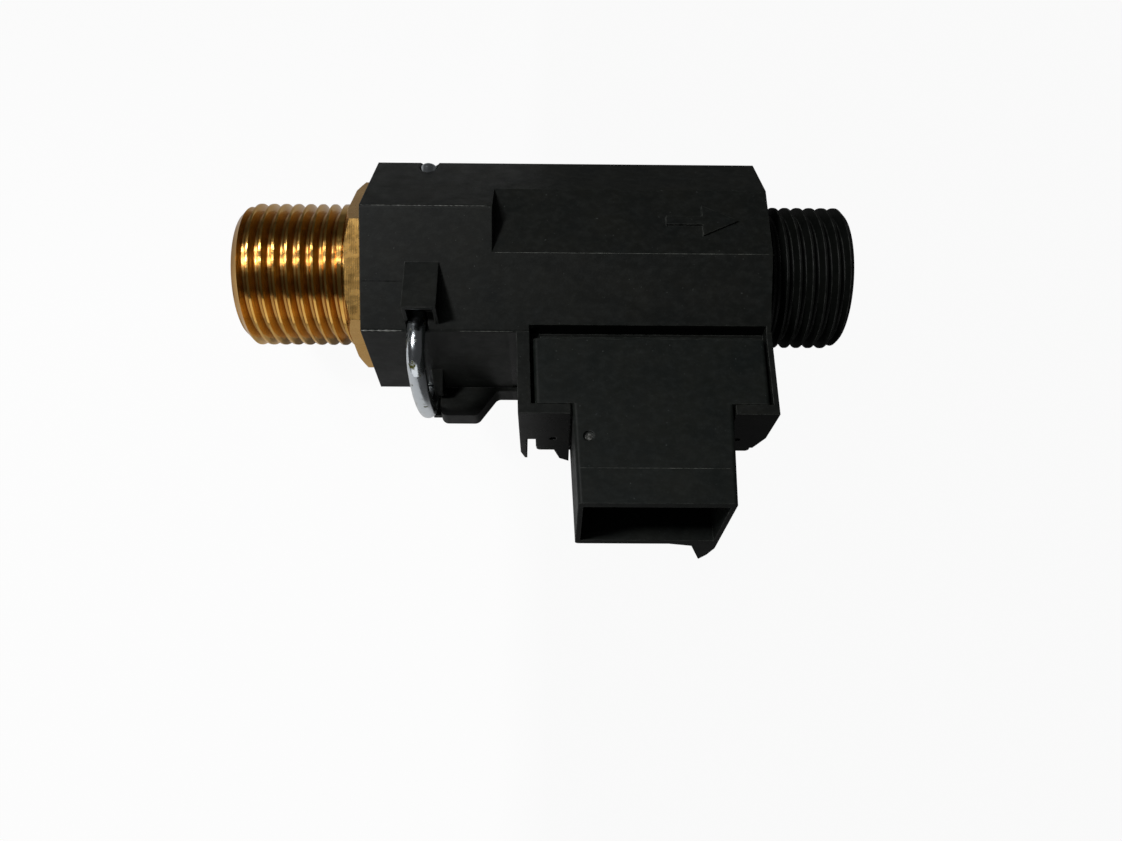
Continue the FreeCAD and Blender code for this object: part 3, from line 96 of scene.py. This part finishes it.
# The switch module's own directions: across its front face, and up out of its cradle
ACROSS = np.array([0.0, 0.5, math.sqrt(3) / 2])
UP_MODULE = np.array([0.0, -math.sqrt(3) / 2, 0.5])

# A mould seam's mesh: rings along it, sides of a ring, and the share of the line left free at each end
SEAM_RINGS = 160
SEAM_SIDES = 8
SEAM_MARGIN = 0.004

# A mould seam's uneven size: the power that closes its ends, its mean and swing, and its second wave
SEAM_CLOSING = 0.2
SEAM_MEAN = 0.6
SEAM_SWING = 0.4
SEAM_SECOND_WAVE = 1.7


# Shader nodes

def linear(colour):
    """A linear colour with alpha from an sRGB hex value such as "1d1d1c"."""
    channels = [int(colour[place:place + 2], 16) / 255 for place in (0, 2, 4)]
    curve = [c / 12.92 if c <= 0.04045 else ((c + 0.055) / 1.055) ** 2.4 for c in channels]
    return (*curve, 1.0)


def add(tree, kind, inputs=None, **settings):
    """Adds a node, sets its settings, and gives its inputs a value or another node's output."""
    node = tree.nodes.new(kind)
    for name, setting in settings.items():
        setattr(node, name, setting)
    for name, given in (inputs or {}).items():
        socket = node.inputs[name]
        if isinstance(given, bpy.types.NodeSocket):
            tree.links.new(given, socket)
        else:
            socket.default_value = given
    return node


def start_material(name):
    """An empty material with its output, a principled shader and the object's own coordinates."""
    material = bpy.data.materials.new(name)
    material.use_nodes = True
    tree = material.node_tree
    tree.nodes.clear()
    output = add(tree, "ShaderNodeOutputMaterial")
    shader = add(tree, "ShaderNodeBsdfPrincipled")
    tree.links.new(shader.outputs[0], output.inputs["Surface"])
    place = add(tree, "ShaderNodeTexCoord").outputs["Object"]
    return material, tree, shader, place


def per_metre(millimetres):
    """The texture scale at which one wave or grain has this size."""
    return 1 / (millimetres * MM)


def ramp(tree, source, stops):
    """A colour ramp over a source, stops as (place, hex)."""
    node = add(tree, "ShaderNodeValToRGB", {"Fac": source})
    bar = node.color_ramp
    while len(bar.elements) < len(stops):
        bar.elements.new(1.0)
    for element, (place, colour) in zip(bar.elements, stops):
        element.position = place
        element.color = linear(colour)
    return node.outputs["Color"]


def noise(tree, place, size, detail=2.0, roughness=0.5):
    """Noise whose largest lumps have this size in millimetres."""
    node = add(tree, "ShaderNodeTexNoise", {"Vector": place, "Scale": per_metre(size), "Detail": detail,
                                            "Roughness": roughness})
    return node.outputs["Fac"]


def span(tree, source, low, high, start=0.0, end=1.0):
    """A value carried from the range start to end over to the range low to high, held at its ends."""
    node = add(tree, "ShaderNodeMapRange", {"Value": source, "From Min": start, "From Max": end,
                                            "To Min": low, "To Max": high})
    return node.outputs["Result"]


def from_noise(tree, source, low, high):
    """Noise, most of which lies between 0.3 and 0.7, carried over to this range."""
    return span(tree, source, low, high, start=0.3, end=0.7)


def beyond(tree, source, place, fade=0.2):
    """A share that goes from 0 to 1 where a coordinate passes this place, over this fade, both in
    millimetres."""
    return span(tree, source, 0.0, 1.0, start=place * MM, end=(place + fade) * MM)


def calculate(tree, operation, first, second):
    """Two values joined by one operation."""
    return add(tree, "ShaderNodeMath", {0: first, 1: second}, operation=operation).outputs[0]


def scaled(tree, source, factor):
    """A value times a plain number."""
    return calculate(tree, "MULTIPLY", source, factor)


def along_direction(tree, first, second):
    """How far one vector reaches along another, which may be a plain one."""
    return add(tree, "ShaderNodeVectorMath", {0: first, 1: second}, operation="DOT_PRODUCT").outputs["Value"]


def blend(tree, share, first, second):
    """The first colour going over to the second one as the share goes from 0 to 1."""
    return add(tree, "ShaderNodeMix", {"Factor": share, "A": first, "B": second},
               data_type="RGBA").outputs["Result"]


def stretched(tree, place, along_x):
    """The same coordinates with everything drawn out along X by this factor."""
    return add(tree, "ShaderNodeMapping", {"Vector": place, "Scale": (1 / along_x, 1.0, 1.0)}).outputs[0]


def bump(tree, height, depth, strength, normal=None):
    """A normal from a height of this depth in millimetres."""
    inputs = {"Height": height, "Distance": depth * MM, "Strength": strength}
    if normal is not None:
        inputs["Normal"] = normal
    return add(tree, "ShaderNodeBump", inputs).outputs["Normal"]


def true_normal(tree):
    """The direction that a face has before any bump or rounding."""
    return add(tree, "ShaderNodeNewGeometry").outputs["True Normal"]


def edges(tree, width):
    """A normal that rounds the edges by this width in millimetres, and the share of edge in each point."""
    soft = add(tree, "ShaderNodeBevel", {"Radius": width * MM}, samples=6).outputs["Normal"]
    agreement = along_direction(tree, soft, true_normal(tree))
    return soft, span(tree, agreement, 1.0, 0.0, start=0.80, end=0.99)


# Finishes

def polish_and_painted_shade_share(tree, place, inside):
    """The share of a face that the mould's polish left smoother, and that carries painted shade: the ends
    that face up out of the cradle, where the coordinate along the first vector given is over the value in
    millimetres."""
    towards, least = inside
    facing = along_direction(tree, true_normal(tree), tuple(UP_MODULE))
    reach = along_direction(tree, place, tuple(towards))
    return calculate(tree, "MULTIPLY", span(tree, facing, 0.0, 1.0, start=0.95, end=0.98),
                     beyond(tree, reach, least))


def nylon_colour(tree, place, polish_and_painted_shade, edge, deep, warm, rubbed, fleck):
    """Near black, faintly clouded and mottled, with a few pale specks and paler rubbed edges. The end faces
    up out of the cradle are darker with painted shade, and the outlet's thread is darker."""
    clouds = noise(tree, place, 5.0, detail=5.0, roughness=0.65)
    base = ramp(tree, clouds, [(0.30, deep), (0.70, warm)])
    mottle = noise(tree, stretched(tree, place, 1.4), 0.9, detail=5.0, roughness=0.75)
    base = blend(tree, span(tree, mottle, 0.0, 0.16, start=0.45, end=0.75), base, linear(fleck))
    specks = noise(tree, place, 0.35, detail=1.0)
    base = blend(tree, span(tree, specks, 0.0, 0.8, start=0.755, end=0.80), base, linear(fleck))
    along = add(tree, "ShaderNodeSeparateXYZ", {"Vector": place}).outputs["X"]
    # Painted shade on the end faces up out of the cradle; the outlet's thread is darker too
    dark = calculate(tree, "MAXIMUM", polish_and_painted_shade, beyond(tree, along, BODY_END))
    base = blend(tree, scaled(tree, dark, 0.75), base, linear("040504"))
    wear = span(tree, noise(tree, place, 1.1, detail=3.0), 0.15, 0.9, start=0.38, end=0.62)
    return blend(tree, calculate(tree, "MULTIPLY", edge, wear), base, linear(rubbed))


def moulded_plastic(name, deep, warm, rubbed, fleck, polish_and_shade_inside):
    """Glass-filled nylon from a spark-eroded mould: matt, with a fine grain and faint marks drawn out along
    the flow. The end faces, where the mould had a polish, are smoother, and their darker colour is painted
    shade."""
    material, tree, shader, place = start_material(name)
    polish_and_painted_shade = polish_and_painted_shade_share(tree, place, polish_and_shade_inside)
    soft, edge = edges(tree, 0.2)
    tree.links.new(nylon_colour(tree, place, polish_and_painted_shade, edge, deep, warm, rubbed, fleck),
                   shader.inputs["Base Color"])
    matt = from_noise(tree, noise(tree, place, 2.4, detail=4.0), 0.42, 0.54)
    tree.links.new(calculate(tree, "SUBTRACT", matt, scaled(tree, polish_and_painted_shade, 0.18)),
                   shader.inputs["Roughness"])
    grain = noise(tree, place, 0.34, detail=3.0, roughness=0.65)
    drawn = noise(tree, stretched(tree, place, 9.0), 0.45)
    height = calculate(tree, "ADD", grain, scaled(tree, drawn, 0.25))
    tree.links.new(bump(tree, height, depth=0.018, strength=0.7, normal=soft), shader.inputs["Normal"])
    shader.inputs["Specular IOR Level"].default_value = 0.15
    return material


def radius_and_place(tree, place):
    """The distance from the flow's axis and the place along it, both in metres."""
    parts = add(tree, "ShaderNodeSeparateXYZ", {"Vector": place}).outputs
    across = calculate(tree, "MULTIPLY", parts["Y"], parts["Y"])
    above = calculate(tree, "MULTIPLY", parts["Z"], parts["Z"])
    return calculate(tree, "POWER", calculate(tree, "ADD", across, above), 0.5), parts["X"]


def tool_marks(tree, place, gap):
    """The rings that a turning tool leaves, this many millimetres apart. Blender's wave texture repeats
    every pi / 10 at a scale of 1."""
    return add(tree, "ShaderNodeTexWave", {"Vector": place, "Scale": per_metre(gap) * math.pi / 10,
                                           "Distortion": 1.2, "Detail": 2.0},
               bands_direction="X").outputs["Fac"]


def turned_brass(name):
    """Free-cutting brass: a bright turned thread, browned in its roots, and a duller drawn hexagon."""
    material, tree, shader, place = start_material(name)
    tarnish = noise(tree, place, 3.5, detail=4.0, roughness=0.6)
    base = ramp(tree, tarnish, [(0.35, "d3a252"), (0.65, "e2b567")])
    radius, along = radius_and_place(tree, place)
    root = span(tree, radius, 1.0, 0.0, start=THREAD_ROOT * MM, end=THREAD_CREST * MM)
    base = blend(tree, scaled(tree, root, 0.8), base, linear("a87d45"))
    hexagon = beyond(tree, along, NIPPLE_THREAD_END, fade=0.8)
    base = blend(tree, scaled(tree, hexagon, 0.45), base, linear("a98350"))
    tree.links.new(base, shader.inputs["Base Color"])
    shader.inputs["Metallic"].default_value = 1.0
    dull = from_noise(tree, noise(tree, place, 1.2, detail=3.0), 0.12, 0.21)
    dull = calculate(tree, "ADD", dull, scaled(tree, root, 0.05))
    tree.links.new(calculate(tree, "ADD", dull, scaled(tree, hexagon, 0.10)), shader.inputs["Roughness"])
    # Wider apart than the real marks, so that they show
    turning = tool_marks(tree, place, 0.25)
    dents = noise(tree, place, 0.8, detail=3.0, roughness=0.6)
    height = calculate(tree, "ADD", scaled(tree, turning, 0.25), dents)
    tree.links.new(bump(tree, height, depth=0.016, strength=0.7), shader.inputs["Normal"])
    return material


def plated_wire(name):
    """Spring wire, zinc plated: bright and smooth, with a few olive spots of corrosion."""
    material, tree, shader, place = start_material(name)
    spots = span(tree, noise(tree, place, 1.8, detail=3.0, roughness=0.6), 0.0, 1.0, start=0.60, end=0.67)
    colour = blend(tree, spots, linear("dde3e8"), linear("5f5f2c"))
    tree.links.new(colour, shader.inputs["Base Color"])
    shader.inputs["Metallic"].default_value = 1.0
    sheen = from_noise(tree, noise(tree, place, 0.9, detail=3.0), 0.12, 0.24)
    tree.links.new(calculate(tree, "ADD", sheen, scaled(tree, spots, 0.3)), shader.inputs["Roughness"])
    tree.links.new(bump(tree, noise(tree, place, 1.3), depth=0.02, strength=0.5), shader.inputs["Normal"])
    return material


def plain_metal(name, dark, pale, rough, grain):
    """Drawn or stamped metal with a grain of this size in millimetres."""
    material, tree, shader, place = start_material(name)
    grains = noise(tree, place, grain, detail=3.0, roughness=0.6)
    tree.links.new(ramp(tree, grains, [(0.35, dark), (0.65, pale)]), shader.inputs["Base Color"])
    shader.inputs["Metallic"].default_value = 1.0
    tree.links.new(from_noise(tree, grains, *rough), shader.inputs["Roughness"])
    tree.links.new(bump(tree, grains, depth=0.008, strength=0.6), shader.inputs["Normal"])
    return material


def plain_moulding(name, dark, pale, rough, gloss=0.5):
    """Plain plastic, rubber, laminate or sintered powder: smooth, with a faint cloud in its colour."""
    material, tree, shader, place = start_material(name)
    clouds = noise(tree, place, 3.0, detail=3.0)
    tree.links.new(ramp(tree, clouds, [(0.35, dark), (0.65, pale)]), shader.inputs["Base Color"])
    grain = noise(tree, place, 0.8)
    tree.links.new(from_noise(tree, grain, *rough), shader.inputs["Roughness"])
    tree.links.new(bump(tree, grain, depth=0.01, strength=0.5), shader.inputs["Normal"])
    shader.inputs["Specular IOR Level"].default_value = gloss
    return material


def sealed_glass(name):
    """Lead glass of the reed tube: clear, with a slight green tint."""
    material, tree, shader, place = start_material(name)
    tint = ramp(tree, noise(tree, place, 5.0), [(0.4, "d7efe2"), (0.6, "e6f6ee")])
    tree.links.new(tint, shader.inputs["Base Color"])
    shader.inputs["Roughness"].default_value = 0.04
    shader.inputs["IOR"].default_value = 1.52
    shader.inputs["Transmission Weight"].default_value = 0.9
    return material


BODY_PLASTIC = moulded_plastic("black_nylon_body", deep="0d100f", warm="151613", rubbed="464845",
                               fleck="3f4240", polish_and_shade_inside=((1.0, 0.0, 0.0), POLISH_AND_SHADE_START))
MODULE_PLASTIC = moulded_plastic("black_nylon_module", deep="0f1312", warm="171916", rubbed="464845",
                                 fleck="3d4140", polish_and_shade_inside=(-ACROSS, POLISH_AND_SHADE_DEPTH - MODULE_FRONT))
# Thin flash along the mould's split: the raised line is real, and its pale colour is painted highlight along
# the edges
FLASH_PAINTED_HIGHLIGHT = plain_moulding("nylon_flash_painted_highlight", "40423f", "656762", rough=(0.35, 0.5))
# A dark raised line that stands for the split-line groove: painted shade
SPLIT_LINE_PAINTED_SHADE = plain_moulding("split_line_painted_shade", "030303", "070707", rough=(0.6, 0.7), gloss=0.02)
BRASS = turned_brass("turned_brass")
WIRE = plated_wire("plated_spring_wire")
RUBBER = plain_moulding("black_seal_rubber", "141414", "1c1c1c", rough=(0.45, 0.6))
WHITE_PLASTIC = plain_moulding("natural_acetal", "d8d7cf", "e6e5de", rough=(0.35, 0.5))
GREY_PLASTIC = plain_moulding("grey_polypropylene", "a9aba8", "b9bbb7", rough=(0.4, 0.55))
FERRITE = plain_moulding("sintered_ferrite", "2b2b2d", "38383a", rough=(0.5, 0.7))
LAMINATE = plain_moulding("green_laminate", "1c5a33", "24683c", rough=(0.35, 0.5))
STAINLESS = plain_metal("stainless_spring_wire", "a6a7a5", "c0c1bf", rough=(0.2, 0.32), grain=0.8)
PIN_STEEL = plain_metal("blackened_pin_steel", "3a3b39", "8e8f8b", rough=(0.25, 0.45), grain=0.3)
TINNED = plain_metal("tinned_contact_brass", "b4b3ad", "cfcfca", rough=(0.25, 0.4), grain=0.5)
GLASS = sealed_glass("reed_glass_tube")

FINISHES = {
    "valve_body": BODY_PLASTIC,
    "inlet_nipple": BRASS,
    "nipple_seal_outer": RUBBER,
    "nipple_seal_inner": RUBBER,
    "retaining_clip": WIRE,
    "strainer_frame": GREY_PLASTIC,
    "strainer_mesh": WHITE_PLASTIC,
    "seat_ring": WHITE_PLASTIC,
    "piston_guide": WHITE_PLASTIC,
    "guide_seal": RUBBER,
    "piston": WHITE_PLASTIC,
    "piston_magnet": FERRITE,
    "magnet_cap": WHITE_PLASTIC,
    "return_spring": STAINLESS,
    "spring_seat": WHITE_PLASTIC,
    "snap_ring": STAINLESS,
    "switch_housing": MODULE_PLASTIC,
    "switch_cover": MODULE_PLASTIC,
    "circuit_board": LAMINATE,
    "terminal_left": TINNED,
    "terminal_middle": TINNED,
    "terminal_right": TINNED,
    "terminal_carrier": MODULE_PLASTIC,
    "locating_pin": PIN_STEEL,
    "reed_glass": GLASS,
    "reed_blade_left": TINNED,
    "reed_blade_right": TINNED,
}


def dress(piece, material):
    """Gives a piece one material over all its faces."""
    piece.data.materials.clear()
    piece.data.materials.append(material)


for node, material in FINISHES.items():
    dress(NODES[node], material)


def shorten_spring():
    """Gives the return spring a mesh of its own. The real spring shortens towards its seat as the piston
    slides into it.
    """
    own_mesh(NODES["return_spring"])


shorten_spring()


# Small details of the mouldings

def closed_tube(name, rings):
    """A mesh from rings of points in millimetres, joined ring to ring, with a flat face over each end."""
    count, around = rings.shape[:2]
    first = np.arange(count - 1)[:, None] * around + np.arange(around)[None, :]
    beside = np.arange(count - 1)[:, None] * around + (np.arange(around)[None, :] + 1) % around
    sides = np.stack([first, first + around, beside + around, beside], axis=-1).reshape(-1, 4)
    ends = [list(range(around)), list(range(count * around - 1, (count - 1) * around - 1, -1))]
    mesh = bpy.data.meshes.new(name)
    mesh.from_pydata((rings.reshape(-1, 3) * MM).tolist(), [], sides.tolist() + ends)
    piece = bpy.data.objects.new(name, mesh)
    bpy.context.scene.collection.objects.link(piece)
    return piece


def mould_seam(name, start, end, outward, width, height, waves, body, slot, finish=FLASH_PAINTED_HIGHLIGHT):
    """The hairline of flash that a mould's split leaves: a lens of this width, and of this height on either
    side of the line that it is carried along. At the share u of the line, its size is sin(pi u) ** 0.2,
    which closes its ends, times 0.6 + 0.4 sin(2 pi waves u) sin(2 pi 1.7 waves u). Its default finish is
    pale, which is painted highlight."""
    start, end, outward = (np.array(given, dtype=float) for given in (start, end, outward))
    run = (end - start) / np.linalg.norm(end - start)
    across = np.cross(run, outward)
    share = np.linspace(SEAM_MARGIN, 1 - SEAM_MARGIN, SEAM_RINGS)[:, None, None]
    turn = np.linspace(0, 2 * math.pi, SEAM_SIDES, endpoint=False)[None, :, None]
    first_wave = np.sin(2 * math.pi * waves * share)
    second_wave = np.sin(2 * SEAM_SECOND_WAVE * math.pi * waves * share)
    swell = np.sin(math.pi * share) ** SEAM_CLOSING
    swell = swell * (SEAM_MEAN + SEAM_SWING * first_wave * second_wave)
    section = np.cos(turn) * width / 2 * across + np.sin(turn) * height * outward
    piece = closed_tube(name, start + share * (end - start) + swell * section)
    dress(piece, finish)
    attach(piece, body)


def on_module(along, up):
    """A point on the module's front face, from its place along the flow and up out of the cradle."""
    return np.array([along, 0.0, 0.0]) + ACROSS * MODULE_FRONT + UP_MODULE * up


def mould_seams():
    """The seams that show: on the body's two front corners, across its front beside the hood, along the
    marking flat's lower edge, and across the connector. Their pale colour is painted highlight, and the dark
    line across the front is painted shade. The lower corner's seam stops short of the hood and goes on
    behind it, up to the cradle."""
    body = {"body": "body_group", "slot": "body_plastic"}
    module = {"body": "module_group", "slot": "module_plastic"}

    # Along the flow
    start = BODY_START + 0.1
    before_hood, behind_hood, before_cradle = BODY_START + 5.6, BODY_START + 13.5, BODY_START + 20.8
    connector_start, connector_end = 49.0, 68.4

    # Across it: a corner's place with its seam sunk a little, and the edges of the flats
    sunk = 0.05
    side, top = BODY_FLAT / math.sqrt(3) - sunk / 2, BODY_FLAT - sunk
    front_split = -1.72
    pad_edge = (PAD_HEIGHT - BODY_FLAT * ACROSS[2]) / ACROSS[1]
    connector_split = 34.5

    # Outward: the marking flat's normal, the cradle side's, and the front's
    upper = ACROSS
    lower = np.array([0.0, -0.5, math.sqrt(3) / 2])
    front = np.array([0.0, 0.0, 1.0])

    mould_seam("seam_upper_corner", (start, side, top), (PAD_START - 0.6, side, top),
               upper, width=0.13, height=0.07, waves=9, **body)
    mould_seam("seam_lower_corner", (start, -side, top), (before_hood, -side, top),
               front, width=0.34, height=0.07, waves=2, **body)
    mould_seam("seam_lower_corner_inner", (behind_hood, -side, top), (before_cradle, -side, top),
               lower, width=0.12, height=0.06, waves=3, **body)
    # Across the front: a dark line, painted shade of the split-line groove
    mould_seam("seam_front_painted_shade", (start, front_split, BODY_FLAT), (before_hood + 0.1, front_split, BODY_FLAT),
               front, width=0.12, height=0.02, waves=2, finish=SPLIT_LINE_PAINTED_SHADE, **body)
    mould_seam("seam_marking_flat", (PAD_START + 0.3, pad_edge, BODY_FLAT),
               (BODY_END - 0.4, pad_edge, BODY_FLAT),
               (upper + front) / 2, width=0.08, height=0.02, waves=11, **body)
    mould_seam("seam_connector", on_module(connector_start, connector_split),
               on_module(connector_end, connector_split),
               ACROSS, width=0.06, height=0.012, waves=7, **module)


mould_seams()


# Floor, light and camera

def floor_material():
    """Matt paper that the camera sees as white, with a trace of the object's shadow on it. Metal and gloss
    see the paper's own colour, which has painted shade: light in front of the inlet, and darker behind the
    object and to its right."""
    material = bpy.data.materials.new("white_paper_floor")
    material.use_nodes = True
    tree = material.node_tree
    tree.nodes.clear()
    place = add(tree, "ShaderNodeTexCoord").outputs["Object"]
    parts = add(tree, "ShaderNodeSeparateXYZ", {"Vector": place}).outputs
    # Painted shade: the paper goes darker behind the object and to its right
    away = calculate(tree, "MAXIMUM", span(tree, parts["Y"], 0.0, 1.0, *PAINTED_SHADE_ALONG_Y),
                     span(tree, parts["X"], 0.0, 1.0, *PAINTED_SHADE_ALONG_X))
    shade = ramp(tree, away, [(0.0, PAPER_LIGHT), (1.0, PAPER_PAINTED_SHADE)])
    paper = add(tree, "ShaderNodeBsdfDiffuse", {"Color": shade})
    glow = add(tree, "ShaderNodeEmission", {"Color": linear("ffffff"), "Strength": 1.0})
    path = add(tree, "ShaderNodeLightPath").outputs
    mirrored = calculate(tree, "ADD", path["Is Glossy Ray"], path["Is Transmission Ray"])
    share = calculate(tree, "ADD", scaled(tree, path["Is Camera Ray"], WHITE_TO_CAMERA),
                      scaled(tree, mirrored, WHITE_MIRRORED))
    mixed = add(tree, "ShaderNodeMixShader", {0: share, 1: paper.outputs[0], 2: glow.outputs[0]})
    add(tree, "ShaderNodeOutputMaterial", {"Surface": mixed.outputs[0]})
    return material


def floor():
    """A large flat sheet at the level of the body's lowest flat."""
    half = FLOOR_SIZE / 2
    corners = np.array([(-half, -half, 0), (half, -half, 0), (half, half, 0), (-half, half, 0)])
    corners += np.array([SCENE_MIDDLE.x, SCENE_MIDDLE.y, FLOOR_LEVEL])
    mesh = bpy.data.meshes.new("floor")
    mesh.from_pydata(corners.tolist(), [], [(0, 1, 2, 3)])
    sheet = bpy.data.objects.new("floor", mesh)
    bpy.context.scene.collection.objects.link(sheet)
    dress(sheet, floor_material())


def lamp(name, towards, distance, size, level):
    """A rectangular soft light that faces the middle of the scene, its first side along X. The level is
    the share of plain light that it gives a surface facing up, where 1 shows a colour as it is written."""
    away = Vector(towards).normalized()
    light = bpy.data.lights.new(name, "AREA")
    light.shape = "RECTANGLE"
    light.size, light.size_y = size
    light.energy = level * (math.pi * distance) ** 2 / away.z
    side = Vector((1, 0, 0))
    side = (side - away * side.dot(away)).normalized()
    turn = Matrix((side, away.cross(side), away)).transposed()
    holder = bpy.data.objects.new(name, light)
    holder.matrix_world = Matrix.Translation(SCENE_MIDDLE + away * distance) @ turn.to_4x4()
    bpy.context.scene.collection.objects.link(holder)


def room():
    """A dim room that the camera sees as white."""
    world = bpy.data.worlds.new("dim_room")
    bpy.context.scene.world = world
    world.use_nodes = True
    tree = world.node_tree
    tree.nodes.clear()
    seen = add(tree, "ShaderNodeLightPath").outputs["Is Camera Ray"]
    air = add(tree, "ShaderNodeBackground", {"Color": linear("ffffff"),
                                             "Strength": span(tree, seen, ROOM_LEVEL, 1.0)})
    add(tree, "ShaderNodeOutputWorld", {"Surface": air.outputs[0]})


def light_the_scene():
    """Two small lights and two long strips, high at the left and behind, and a wide dim light in front."""
    lamp("key_low", (-0.50, 0.33, 0.80), distance=0.9, size=(0.12, 0.10), level=0.42)
    lamp("key_high", (-0.42, 0.60, 0.67), distance=0.9, size=(0.12, 0.10), level=0.12)
    lamp("strip_low", (-0.42, 0.33, 0.85), distance=0.9, size=(0.60, 0.035), level=0.05)
    lamp("strip_high", (-0.35, 0.62, 0.70), distance=0.9, size=(0.60, 0.035), level=0.02)
    lamp("wide_front", (-0.25, -0.88, 0.40), distance=1.0, size=(1.2, 0.80), level=0.10)
    room()


def camera():
    """The photograph's camera: almost straight down, turned by the fitted yaw, pitch and roll."""
    lens = bpy.data.cameras.new("camera")
    lens.sensor_fit = "HORIZONTAL"
    lens.sensor_width = SENSOR_WIDTH
    lens.lens = FOCAL_PIXELS * SENSOR_WIDTH / FRAME_WIDTH
    lens.clip_start = 0.005
    lens.clip_end = 10.0
    holder = bpy.data.objects.new("camera", lens)
    turn = (Matrix.Rotation(-CAMERA_YAW, 4, "Y") @ Matrix.Rotation(-CAMERA_PITCH, 4, "X")
            @ Matrix.Rotation(-CAMERA_ROLL, 4, "Z"))
    holder.matrix_world = Matrix.Translation(CAMERA_PLACE) @ turn
    bpy.context.scene.collection.objects.link(holder)
    bpy.context.scene.camera = holder


floor()
light_the_scene()
camera()
bpy.context.scene.view_settings.view_transform = "Standard"
